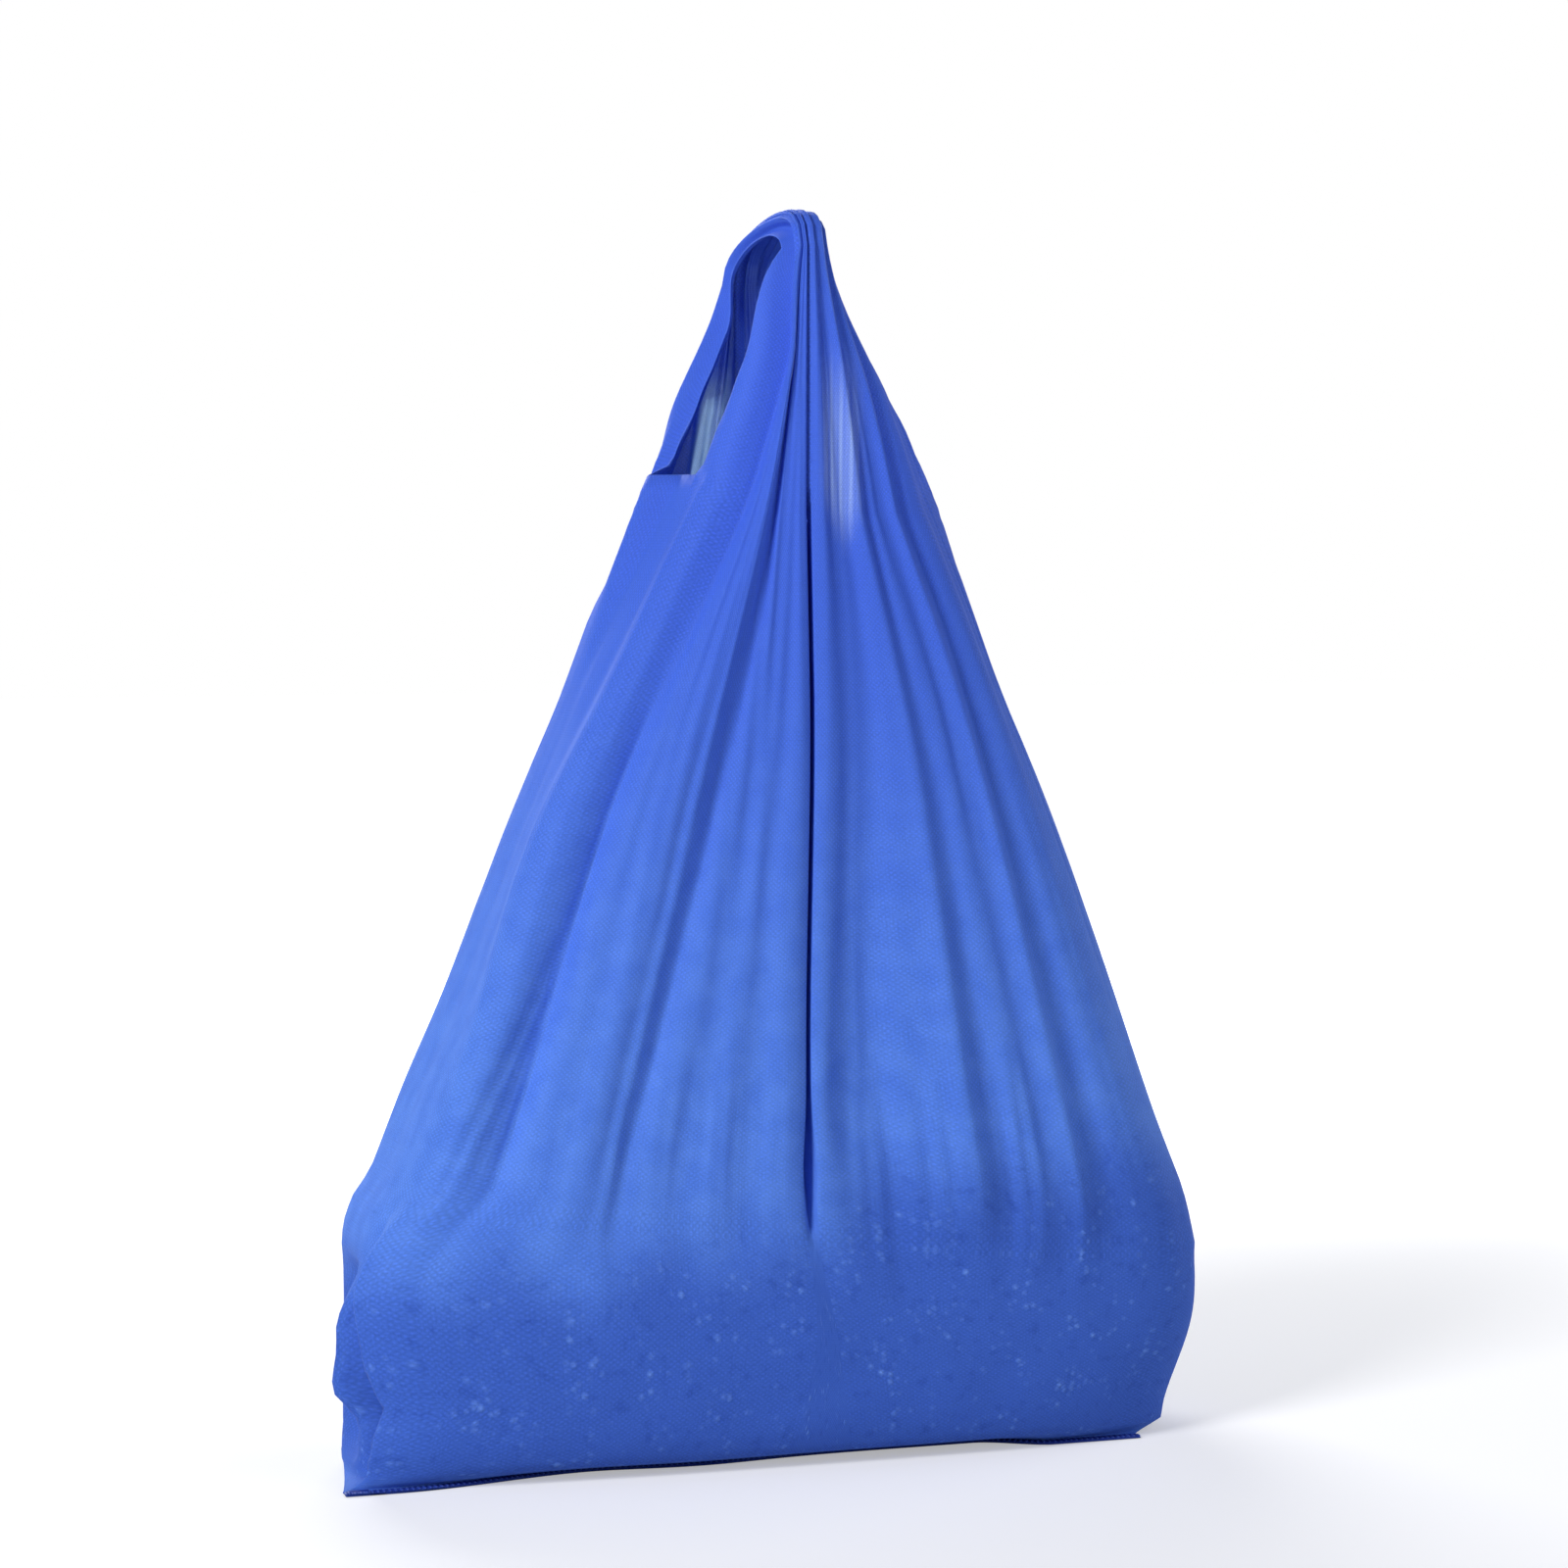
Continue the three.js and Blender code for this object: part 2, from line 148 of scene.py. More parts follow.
@dataclass(frozen=True)
class Band:
    """A stretch with eased ends.

    Attributes:
        start: Where it begins.
        full: Where it is reached in full.
        fade: Where it begins to fade.
        end: Where it is over.
        left: Share that is left of it there.
    """

    start: float
    full: float
    fade: float
    end: float
    left: float = 0.0

    def share(self, value: Array | float) -> Array:
        """Share of the band at some values, from 0 to 1."""
        fading = 1 - (1 - self.left) * smooth(value, self.fade, self.end)
        return smooth(value, self.start, self.full) * fading


@dataclass(frozen=True)
class Facet:
    """A line up the slack cloth at which the cloth has a known turn.

    Places run from 0 in the middle of a gusset over 1 at the corner to 2 at the slit.

    Attributes:
        low: Where it lies just above the filled part.
        middle: Where it lies midway.
        high: Where it lies near the mouth.
        turn: Turn of the cloth towards the left of its panel, in degrees. It changes evenly between lines.
    """

    low: float
    middle: float
    high: float
    turn: float

    def place(self, height: float) -> float:
        """Where it lies at a height above the floor, in millimetres."""
        return float(np.interp(height, FOLD_HEIGHTS, (self.low, self.middle, self.high)))


@dataclass(frozen=True)
class Crease:
    """A thin crease across or along the cloth.

    Attributes:
        low: Its place at the lower end.
        high: Its place at the upper end.
        foot: Height of its lower end, in millimetres.
        top: Height of its upper end.
        depth: Depth towards the inside, in millimetres.
        width: Half width, in the units of the places.
    """

    low: float
    high: float
    foot: float
    top: float
    depth: float
    width: float = 0.022

    def depth_at(self, wander: Array, height: Array) -> Array:
        """Depth at some places across the cloth and heights above the floor.

        Args:
            wander: Places across the quarter, from 0 to 2.
            height: Heights above the floor, in millimetres.

        Returns:
            Depths towards the inside, in millimetres.
        """
        run = Band(self.foot, self.foot + CREASE_RUN_OUT, self.top - CREASE_RUN_OUT, self.top)
        apart = wander - np.interp(height, (self.foot, self.top), (self.low, self.high))
        return self.depth * run.share(height) * np.exp(-np.abs(apart / self.width))


@dataclass(frozen=True)
class Quarter:
    """A quarter of the cloth, between the middle of a gusset and the middle of a panel.

    Attributes:
        side: -1 for the left and 1 for the right.
        face: -1 for the front and 1 for the back.
        facets: The facets of its long pleats, from the gusset to the slit.
        creases: Its thin creases.
        seed: Picks its fine wrinkles.
        ear: Reach of its lower corner beside a pinched notch, in millimetres.
        creased: Depth of the crease down the middle of its gusset under the cut, in millimetres.
        turned: Reach by which its gusset is turned to the front under its cut, in millimetres.
        rolled: Reach by which the edge of its handle strip is rolled in, in millimetres.
    """

    side: int
    face: int
    facets: tuple[Facet, ...]
    creases: tuple[Crease, ...]
    seed: int
    ear: float = 0.0
    creased: float = 0.0
    turned: float = 0.0
    rolled: float = 0.0


@dataclass(frozen=True)
class Wrinkles:
    """Fine wrinkles up the cloth.

    Attributes:
        seed: What is added to the seed of a quarter.
        depths: Depth on the left and on the right, in millimetres.
        drift: Places that they drift for each millimetre of height.
        waves: Lowest and highest number of waves for each place.
        terms: Number of waves that are added.
        heights: Heights of the wrinkles, in millimetres.
        places: Places of a quarter between which they start.
    """

    seed: int
    depths: Pair
    drift: float
    waves: Pair
    terms: int
    heights: Band
    places: Pair

    def depth_at(self, quarter: Quarter, wander: Array, height: Array) -> Array:
        """Depth at some places across a quarter and heights above the floor.

        Args:
            quarter: The quarter of the cloth.
            wander: Places across the quarter, from 0 to 2.
            height: Heights above the floor, in millimetres.

        Returns:
            Depths towards the inside, in millimetres.
        """
        depth = self.depths[1 if quarter.side > 0 else 0]
        waves = ripple(wander + self.drift * height, quarter.seed + self.seed, *self.waves, self.terms)
        return depth * waves * self.heights.share(height) * smooth(wander, *self.places)


WRINKLES = (
    Wrinkles(0, (0.3, 0.3), 0.0006, (5, 12), 7, Band(110, 330, 500, GATHER_HEIGHT, left=1), (0.0, 0.2)),
    Wrinkles(40, (0.2, 0.6), 0.0004, (12, 22), 9, Band(70, 110, 135, 190), (0.9, 1.3)),
)
LEFT_FACETS = (
    Facet(0.4, 0.3, 0.3, 0),
    Facet(0.76, 0.5, 0.55, 9),
    Facet(0.9, 0.89, 0.88, -13),
    Facet(1.0, 0.99, 0.97, -10),
    Facet(1.04, 1.04, 1.06, 10),
    Facet(1.16, 1.15, 1.19, -2),
    Facet(1.22, 1.23, 1.25, 5),
    Facet(1.33, 1.36, 1.38, -8),
    Facet(1.36, 1.39, 1.39, 5),
    Facet(1.38, 1.43, 1.43, -12),
    Facet(1.4, 1.47, 1.54, -12),
    Facet(1.44, 1.53, 1.64, 10),
    Facet(1.58, 1.64, 1.74, -4),
    Facet(1.68, 1.73, 1.8, 6),
    Facet(1.77, 1.79, 1.85, -5),
    Facet(1.88, 1.85, 1.9, 8),
    Facet(2.0, 2.0, 2.0, -12),
)
RIGHT_FACETS = (
    Facet(0.5, 0.5, 0.5, 0),
    Facet(0.99, 1.02, 0.95, -7),
    Facet(1.11, 1.13, 1.08, 7),
    Facet(1.21, 1.21, 1.21, -11),
    Facet(1.24, 1.24, 1.245, -15),
    Facet(1.28, 1.285, 1.29, 11),
    Facet(1.35, 1.38, 1.4, -9),
    Facet(1.45, 1.47, 1.475, 7),
    Facet(1.53, 1.54, 1.51, -12),
    Facet(1.565, 1.57, 1.545, -15),
    Facet(1.6, 1.61, 1.59, 11),
    Facet(1.7, 1.68, 1.63, 5),
    Facet(1.775, 1.76, 1.66, 8),
    Facet(1.81, 1.82, 1.73, -9),
    Facet(1.84, 1.845, 1.77, 1),
    Facet(1.95, 1.89, 1.84, -15),
    Facet(1.985, 1.985, 1.94, 5),
    Facet(2.0, 2.0, 2.0, 5),
)
LEFT_CREASES = (
    Crease(1.02, 0.99, 85, 330, 2.4),
    Crease(0.82, 0.99, 72, 235, 2.6, 0.018),
    Crease(0.92, 1.0, 74, 215, 2.2, 0.018),
    Crease(1.12, 1.13, 85, 180, 0.6),
    Crease(1.58, 1.6, 80, 190, 0.8),
)
RIGHT_CREASES = (
    Crease(1.8, 1.82, 80, 240, 1.3),
    Crease(1.7, 1.71, 85, 190, 0.8),
    Crease(1.5, 1.52, 85, 200, 0.8),
    Crease(1.04, 1.05, 90, 300, 1.0),
)


@dataclass(frozen=True)
class Notch:
    """A lower corner of the filled part that is pinched into a V, beside an ear of the panel.

    Heights are in millimetres, places are those of a quarter, and reaches are shares of the ear.
    """

    # The V: height of its tip and upper leg, and the ear that follows its legs
    tip: float = 34.0
    leg: float = 44.0
    run_out: float = 45.0
    ear: Band = Band(0.6, 0.78, 1.0, 1.4)
    reach: float = 0.74
    spread: float = 0.32
    pinch: float = 0.26
    pinch_height: float = 7.0
    # The hollow behind the tip
    hollow: Band = Band(0.5, 0.62, 0.62, 0.8)
    hollow_depth: float = 0.9
    hollow_height: float = 15.0
    # The small pleats that fan out from the tip towards the gusset
    fan: Band = Band(0.0, 0.05, 0.2, 0.45)
    fan_depth: float = 0.15
    fan_height: float = 22.0
    fan_rise: float = 30.0
    fan_pitch: float = 6.0
    fan_spread: float = 55.0
    # The swollen gusset beside them
    swell: Band = Band(24.0, 40.0, 64.0, 94.0)
    swell_reach: float = 0.66
    swell_place: float = 0.42
    swell_width: float = 0.17

    def reach_at(self, wander: Array, z: Array) -> Array:
        """Outward reach at some places and heights, as a share of the ear.

        Args:
            wander: Places across the quarter, from 0 to 2.
            z: Heights above the floor, in millimetres.

        Returns:
            Shares of the ear's reach.
        """
        above = z - self.tip
        legs = np.clip(np.where(above < 0, -above / self.tip, above / self.leg), 0, 1)
        ear = self.reach + self.spread * legs - self.pinch * np.exp(-np.abs(above) / self.pinch_height)
        top = self.tip + self.leg
        ear = ear * (1 - smooth(z, top, top + self.run_out)) * self.ear.share(wander)
        hollow = self.hollow_depth * self.hollow.share(wander) * bell(above, 0.0, self.hollow_height)
        away = np.maximum(0.0, self.ear.full - wander)
        turns = (above - self.fan_rise * away) / (self.fan_pitch + self.fan_spread * away)
        fan = np.cos(2 * math.pi * turns) * self.fan.share(away) * bell(above, 0.0, self.fan_height)
        swell = self.swell_reach * self.swell.share(z) * bell(wander, self.swell_place, self.swell_width)
        return ear - hollow + self.fan_depth * fan + swell


@dataclass(frozen=True)
class HandleFolds:
    """Folds of the gussets at their cuts: one is turned to the front, and the rim of one is rolled in.

    Heights are in millimetres and places are those of a quarter. Those of the roll count from the cut's rim.
    """

    # The crease in the middle of a gusset, and the turned gusset
    crease: Pair = (310.0, 412.0)
    turned: Band = Band(260.0, 420.0, 455.0, 503.0, left=0.4)
    turned_places: Band = Band(0.0, 0.5, 0.9, 1.85)
    # The rolled rim, with its drift up to the bunch and the crown that swells beside it
    rolled: Band = Band(345.0, 412.0, 472.0, 505.0)
    rolled_crease: float = 0.26
    rim: Band = Band(-0.25, 0.0, 0.06, 0.36)
    drift: float = 0.33
    crown: Band = Band(395.0, 418.0, 435.0, 485.0)
    crown_place: float = 0.42
    crown_width: float = 0.2
    crown_reach: float = 0.7

    def shift_at(self, quarter: Quarter, wander: Array, z: Array, rim: Array) -> Array:
        """Moves along X at some places and heights, with the place of the cut's rim at each.

        Args:
            quarter: The quarter of the cloth.
            wander: Places across the quarter, from 0 to 2.
            z: Heights above the floor, in millimetres.
            rim: Place of the cut's rim at each height.

        Returns:
            Moves, in millimetres.
        """
        creased = quarter.creased * smooth(z, *self.crease)
        shift = np.zeros_like(z)
        if quarter.turned:
            shift += creased * (1 - smooth(wander, 0, self.turned_places.full))
            shift += quarter.turned * self.turned.share(z) * self.turned_places.share(wander)
        if quarter.rolled:
            past = wander - rim
            crown = bell(past, self.crown_place, self.crown_width) * self.crown.share(z)
            shift += creased * (1 - smooth(wander, 0, self.rolled_crease))
            shift += quarter.rolled * self.rolled.share(z) * (self.rim.share(past) - self.crown_reach * crown)
        return shift


@dataclass(frozen=True)
class Slump:
    """How the filled cloth leans and sags, in millimetres. Pairs are the limits or the left and right end."""

    # The top of the filled part drops on the right and rises on the left
    tilt: float = 15.0
    heap_foot: float = 15.0
    heap_end: float = 300.0
    # The ends of the seam and of the base lie further left, the left corner less so
    ends: Pair = (0.5, 1.0)
    seam_ends: Pair = (9.0, 19.0)
    base_ends: Pair = (6.0, 17.0)
    base_corner: float = 5.0
    corner_places: Pair = (0.45, 0.75)
    base_height: float = 70.0
    # The middle of the panels leans to the left
    middle: Band = Band(50.0, 110.0, 150.0, 330.0)
    middle_lean: float = 5.0
    middle_width: Pair = (20.0, 90.0)
    # The right side leans out at the filled part, in its slack and most at its neck
    flank: Pair = (60.0, 110.0)
    flank_lean: float = 8.0
    slack: Band = Band(60.0, 320.0, 445.0, GATHER_HEIGHT)
    slack_lean: float = 13.5
    slack_width: float = 50.0
    neck: Pair = (370.0, 430.0)
    neck_lean: float = 3.0
    # The left shoulder is drawn in, and the slack above it leans out
    shoulder: Band = Band(95.0, 125.0, 170.0, 300.0)
    shoulder_width: Pair = (70.0, 150.0)
    shoulder_draw: float = 7.0
    left_slack: Band = Band(180.0, 360.0, 400.0, GATHER_HEIGHT)
    left_lean: float = 1.0
    # The filled part has lumps in its panels, and the seam wanders to the front
    lump_heights: Band = Band(8.0, 30.0, 85.0, 135.0)
    lump_places: Pair = (0.9, 1.2)
    lump_depth: float = 0.7
    seam_sway: float = 15.0
    seam_left: Pair = (0.45, 0.97)
    seam_right: Pair = (0.42, 0.6)
    seam_right_share: float = 0.9
    seam_hump: Pair = (-0.25, 0.2)
    seam_hump_share: float = 0.35

    def drop_at(self, share: Array, z: Array, filled_height: float) -> Array:
        """Drop of points at some shares of the half width, by the tilt of the filled part."""
        heap = Band(self.heap_foot, filled_height, filled_height, self.heap_end).share(z)
        return self.tilt * np.sin(math.pi / 2 * np.clip(share, -1, 1)) * heap

    def base_shifted(self, x: Array, z: Array, wander: Array, sway: float, reach: float) -> Array:
        """Moves the ends of the seam, by its share of sway, and of the base along X.

        Args:
            x: Places from left to right, in millimetres.
            z: Heights above the floor, in millimetres.
            wander: Places across the quarter, from 0 to 2.
            sway: Share of the seam's sway on the level.
            reach: Half the width of the panel, in millimetres.

        Returns:
            The moved places.
        """
        low = 1 - smooth(z, 0, self.base_height)
        start, full = (share * reach for share in self.ends)
        corner = self.base_corner * smooth(wander, *self.corner_places)
        x = x - self.seam_ends[0] * sway * smooth(-x, start, full)
        x = x - (self.base_ends[0] - corner) * low * smooth(-x, start, full)
        x = x - self.base_ends[1] * low * smooth(x, start, full)
        return x - self.seam_ends[1] * sway * smooth(x, start, full)

    def leaned(self, x: Array, z: Array, half_width: float) -> Array:
        """Leans the cloth above the base along X: its middle, right side, left shoulder and left side.

        Args:
            x: Places from left to right, in millimetres.
            z: Heights above the floor, in millimetres.
            half_width: Half the width of the level, in millimetres.

        Returns:
            The moved places.
        """
        x = x - self.middle_lean * self.middle.share(z) * (1 - smooth(abs(x), *self.middle_width))
        slack = self.slack.share(z)
        lean = self.flank_lean * smooth(z, *self.flank) * (1 - slack)
        lean += (self.slack_lean + self.neck_lean * smooth(z, *self.neck)) * slack
        x = x + lean * smooth(x, 0, min(self.slack_width, half_width))
        x = x + self.shoulder_draw * self.shoulder.share(z) * smooth(-x, *self.shoulder_width)
        return x - self.left_lean * self.left_slack.share(z) * smooth(-x, 0, self.slack_width)

    def seam_at(self, share: Array) -> Array:
        """Reach of the seam to the front at some shares of the half width."""
        ends = smooth(-share, *self.seam_left) + self.seam_right_share * smooth(share, *self.seam_right)
        return self.seam_sway * (ends + self.seam_hump_share * bell(share, *self.seam_hump))


@dataclass
class Level:
    """One line of points round the cloth, or along a handle strip, in millimetres.

    Attributes:
        half_width: Half of its span along X.
        middle: Y of its middle.
        out: Y of its front and of its back.
        height: Z of its front and of its back.
        side_height: Z of the middle of its gussets.
        power: Roundness: a high power is nearer to a rectangle.
        lip: Half width of the slit, or of the plain middle below it.
        pleat: Depth of the centre pleat.
        cut: Share of the gusset within its U-cut.
        tuck: Inward tuck of the gussets.
        lift: Share of the gusset's rise towards its cut.
        lap: Share by which the inner edge of the right handle is tucked away.
        fold: Share of the depth of the long folds.
        taper: How bluntly the level ends at the gussets.
        sway: Share of the seam's wandering.
        along: Length of cloth from the seam, for the pattern.
    """

    half_width: float
    middle: float
    out: Pair
    height: Pair
    side_height: float
    power: float
    lip: float
    pleat: float = 0.0
    cut: float = 0.5
    tuck: float = 0.0
    lift: float = 0.0
    lap: float = 0.0
    fold: float = 0.0
    taper: float = 1.0
    sway: float = 0.0
    along: float = 0.0


@dataclass
class ClothForm:
    """Sizes and form of the bag's cloth, in millimetres."""

    # Flat cloth
    panel_width: float = 366.0
    gusset_leaf: float = 75.0
    gusset_cut: float = 40.0
    cut_radius: float = 9.0
    # Welded fin along the bottom
    seam_fin: float = 6.0
    seam_gap: float = 1.0
    fin_gap: float = 0.8
    fin_lift: float = 0.3
    fin_shares: tuple[float, ...] = (1.0, 0.66, 0.33)
    # Seam under the base, which lies in front of the middle
    seam_offset: float = 30.0
    seam_drift: float = 1.5
    seam_taper: float = 0.25
    # Filled base
    filled_depth: float = 140.0
    filled_height: float = 95.0
    filled_swell: float = 5.0
    end_swell: float = 3.5
    hem_lift: float = 7.0
    hem_inset: float = 5.0
    base_inset: float = 12.0
    base_fold: float = 0.3
    base_run: float = 110.0
    # Gussets tucked into its ends
    tuck_depth: float = 32.0
    tuck_height: float = 76.0
    tuck_end: float = 0.65
    notched_tuck_end: float = 0.4
    # Cloth drawn together up to the mouth
    mouth_height: float = 396.0
    mouth_span: float = 100.0
    mouth_droop: float = 9.0
    gusset_lift: float = 16.0
    gather_bulge: float = 2.5
    trim_start: float = 0.86
    lift_start: float = 0.7
    fold_full: float = 0.12
    # Handle strips drawn together up to the bunches
    gather_height: float = GATHER_HEIGHT
    gather_span: float = 19.0
    gather_depth: float = 14.0
    back_drop: float = 12.0
    strip_curve: float = 0.94
    bunch_gain: float = 0.55
    bunch_heights: Pair = (326.0, 486.0)
    bunch_fold: float = 0.2
    bunch_gap: float = 0.7
    # Grip over the bunches
    grip_length: float = 92.0
    grip_rise: float = 10.0
    grip_squeeze: float = 0.3
    # Slit and centre pleat
    pleat_depth: float = 34.0
    pleat_gap: float = 2.4
    pleat_curve: float = 0.55
    pleat_swell: float = 2.2
    plain_lip: float = 19.2
    slit_foot: float = 1.2
    slit_close: float = 0.06
    slit_places: Pair = (1.9, 2.0)
    keyhole_gap: float = 2.0
    keyhole_height: float = 122.0
    keyhole_reach: float = 22.0
    # Long pleats
    pleat_gain: float = 3.6
    pleat_foot: Pair = (62.0, 150.0)
    pleat_uneven: float = 14.0
    uneven_waves: Pair = (1.5, 5.0)
    # Inner edge of the right handle, which is tucked away
    lap_width: float = 6.0
    lap_drop: float = 5.0
    lap_share: float = 0.3
    lap_full: float = 0.12
    # Roundness of the levels
    hem_power: float = 3.0
    shoulder_power: float = 3.6
    mouth_power: float = 3.0
    # Numbers of stations and of rows
    counts: dict[Stretch, int] = field(
        default_factory=lambda: {Stretch.CUT: 9, Stretch.STRIP: 26, Stretch.PANEL: 70, Stretch.PLEAT: 12}
    )
    under_rows: int = 7
    wall_rows: int = 22
    gather_rows: int = 46
    strip_rows: int = 20
    grip_rows: int = 16
    # Folds and moves
    notch: Notch = Notch()
    folds: HandleFolds = HandleFolds()
    slump: Slump = Slump()

    def __post_init__(self) -> None:
        """Lays out the stations of a quarter and the four quarters."""
        kinds: list[Stretch] = []
        shares: list[float] = []
        for stretch, count in self.counts.items():
            last = stretch is Stretch.PLEAT
            places = np.linspace(0.0, 1.0, count + 1)
            places = places if last else places[:-1]
            kinds += [stretch] * len(places)
            shares += list(places)
        self.kinds = np.array([kind.value for kind in kinds])
        self.shares = np.array(shares)
        self.last = len(shares) - 1
        self.strip_start = self.counts[Stretch.CUT]
        self.lip_station = self.strip_start + self.counts[Stretch.STRIP] + self.counts[Stretch.PANEL]
        self.lap_stations = int(self.lap_share * self.counts[Stretch.PLEAT])
        self.quarters = (
            Quarter(-1, -1, LEFT_FACETS, LEFT_CREASES, 11, ear=18.0, creased=10.0, turned=15.0),
            Quarter(1, -1, RIGHT_FACETS, RIGHT_CREASES, 12),
            Quarter(1, 1, LEFT_FACETS, LEFT_CREASES, 13, ear=5.0),
            Quarter(-1, 1, RIGHT_FACETS, RIGHT_CREASES, 14, creased=10.0, rolled=11.0),
        )

    @staticmethod
    def corner_share(power: float) -> float:
        """Share along a rounded level at which its long side turns into its short side."""
        return 2 ** (-1 / power)

    @staticmethod
    def round_share(share: Array, power: float) -> Array:
        """Height of a rounded level over one axis, as a share of the other axis."""
        return np.maximum(0.0, 1 - np.abs(share) ** power) ** (1 / power)

    @property
    def mouth_depth(self) -> float:
        """Distance of the panels from the middle at mouth level."""
        return self.grip_length / 2

    @property
    def side_reach(self) -> float:
        """Distance of the corners from the middle at mouth level."""
        return self.mouth_depth * self.corner_share(self.mouth_power)

    @property
    def cut_share(self) -> float:
        """Share of the gusset from its middle to the rim of its cut, at mouth level."""
        return self.gusset_cut / 2 / self.side_reach

    def corner_trim(self, height: float) -> float:
        """Share of the gusset inside the rounded corner of its cut, at a height above the cut."""
        below = max(0.0, self.cut_radius - height)
        return (self.cut_radius - math.sqrt(self.cut_radius**2 - below**2)) / self.side_reach

    def profiles(self) -> tuple[Array, Array]:
        """Sections of the front and back panel from the fin's root to the shoulder, in Y and Z.

        Returns:
            The front section and the back section, in millimetres.
        """
        wall = self.filled_depth / 2
        swell = self.filled_swell
        top = self.filled_height
        shoulder = wall - swell
        seam = -self.seam_offset
        hem = -(wall - swell - self.hem_inset)
        under = rounded([(seam, self.seam_gap), (hem * 0.8, 3.6), (hem, self.hem_lift)], self.under_rows)
        front = rounded(
            [(hem, self.hem_lift), (-wall + 3.2, 17), (-wall - 1, 42), (-wall - 0.6, 68), (-shoulder, top)],
            self.wall_rows + 1,
        )
        base = wall - swell - self.base_inset
        floor = rounded([(seam, 0.0), (0.0, 0.0), (base, 0.0)], self.under_rows)
        back = rounded(
            [(base, 0.0), (wall - 8, 2), (wall - 1, 14), (wall + 0.8, 48), (wall - 1, 74), (shoulder, top)],
            self.wall_rows + 1,
        )
        return np.concatenate([under, front[1:]]), np.concatenate([floor, back[1:]])

    def end_out(self, height: float) -> float:
        """Distance of the filled ends from the middle at a height above the floor."""
        share = min(1.0, height / self.filled_height)
        return self.panel_width / 2 + self.end_swell * math.sin(math.pi * share)

    def tuck_at(self, height: float) -> float:
        """Inward tuck of the middle of the gussets at a height above the floor."""
        share = (height - self.hem_lift) / (self.tuck_height - self.hem_lift)
        return self.tuck_depth * math.sin(math.pi * min(1.0, max(0.0, share)))

    def base_levels(self) -> list[Level]:
        """Levels of the filled base, from the root of the fin to the shoulder.

        Returns:
            The levels, from below.
        """
        front, back = self.profiles()
        steps = np.linalg.norm(np.diff(front, axis=0), axis=1)
        along = np.concatenate([[0.0], np.cumsum(steps)])
        levels = []
        for index in range(len(front)):
            share = index / (len(front) - 1)
            middle = (front[index, 1] + back[index, 1]) / 2
            under = index / (self.under_rows - 1)
            levels.append(
                Level(
                    half_width=self.end_out(middle),
                    middle=-self.seam_offset * (1 - share) ** self.seam_drift,
                    out=(front[index, 0], back[index, 0]),
                    height=(front[index, 1], back[index, 1]),
                    side_height=middle,
                    power=float(mix(self.hem_power, self.shoulder_power, share)),
                    lip=self.plain_lip * (1 - share) ** 2 + self.pleat_gap,
                    tuck=self.tuck_at(middle),
                    cut=self.cut_share,
                    taper=self.seam_taper if index == 0 else 1.0,
                    sway=max(0.0, 1 - under),
                    fold=self.base_fold,
                    along=float(along[index]),
                )
            )
        return levels

    def fin_levels(self, root: Level) -> list[Level]:
        """Levels of the welded fin, from its free edge to its root.

        Args:
            root: The level at the root of the fin.

        Returns:
            The levels, from the free edge.
        """
        levels = []
        for share in self.fin_shares:
            place = root.middle - self.seam_fin * share
            gap = mix(self.seam_gap, self.fin_gap, share)
            lift = self.fin_lift * math.sin(math.pi * share)
            heights = {"height": (gap + lift, lift), "side_height": gap / 2 + lift}
            along = -self.seam_fin * share
            levels.append(replace(root, middle=place, out=(place, place), fold=0.0, along=along, **heights))
        return levels

    def gather_level(self, share: float) -> Level:
        """Level of the cloth drawn together at a share of the way from the shoulder to the mouth.

        Args:
            share: Share of the way, from 0 to 1.

        Returns:
            The level.
        """
        height = float(mix(self.filled_height, self.mouth_height, share))
        shoulder = self.filled_depth / 2 - self.filled_swell
        out = float(mix(shoulder, self.mouth_depth, share))
        bulge = self.gather_bulge * math.sin(math.pi * share)
        trim = self.corner_trim(0.0) * float(smooth(share, self.trim_start, 1))
        keyhole = self.keyhole_gap * float(bell(height, self.keyhole_height, self.keyhole_reach))
        foot = self.slit_foot * (1 - float(smooth(share, 0, self.slit_close)))
        return Level(
            half_width=float(mix(self.panel_width, self.mouth_span, share)) / 2 + bulge,
            middle=0.0,
            out=(-out, out),
            height=(height, height),
            side_height=height,
            power=float(mix(self.shoulder_power, self.mouth_power, share)),
            lip=self.pleat_gap / 2 + keyhole + foot,
            pleat=self.pleat_depth * share**self.pleat_curve,
            cut=self.cut_share - trim,
            lift=float(smooth(share, self.lift_start, 1)),
            fold=float(mix(self.base_fold, 1.0, smooth(share, 0, self.fold_full))),
            along=self.base_run + height - self.filled_height,
        )

    def strip_level(self, share: float) -> Level:
        """Level of the handle strips at a share of the way from the mouth to the bunches.

        Args:
            share: Share of the way, from 0 to 1.

        Returns:
            The level.
        """
        tops = (self.gather_height, self.gather_height - self.back_drop)
        front, back = (float(mix(self.mouth_height, top, share)) for top in tops)
        end = (self.mouth_depth - self.gather_depth) / self.side_reach
        rise = share * (self.gather_height - self.mouth_height)
        level = self.gather_level(1.0)
        level.half_width = float(mix(self.mouth_span, self.gather_span, share**self.strip_curve)) / 2
        level.height = (front, back)
        level.side_height = (front + back) / 2
        level.fold = float(mix(1.0, self.bunch_fold, share))
        level.lip = self.pleat_gap / 2 * float(mix(1.0, self.bunch_gap, share))
        level.cut = float(mix(self.cut_share, end, share)) - self.corner_trim(rise)
        level.lift = 1 - share
        level.lap = float(smooth(share, 0, self.lap_full))
        level.along = self.base_run + front - self.filled_height
        return level

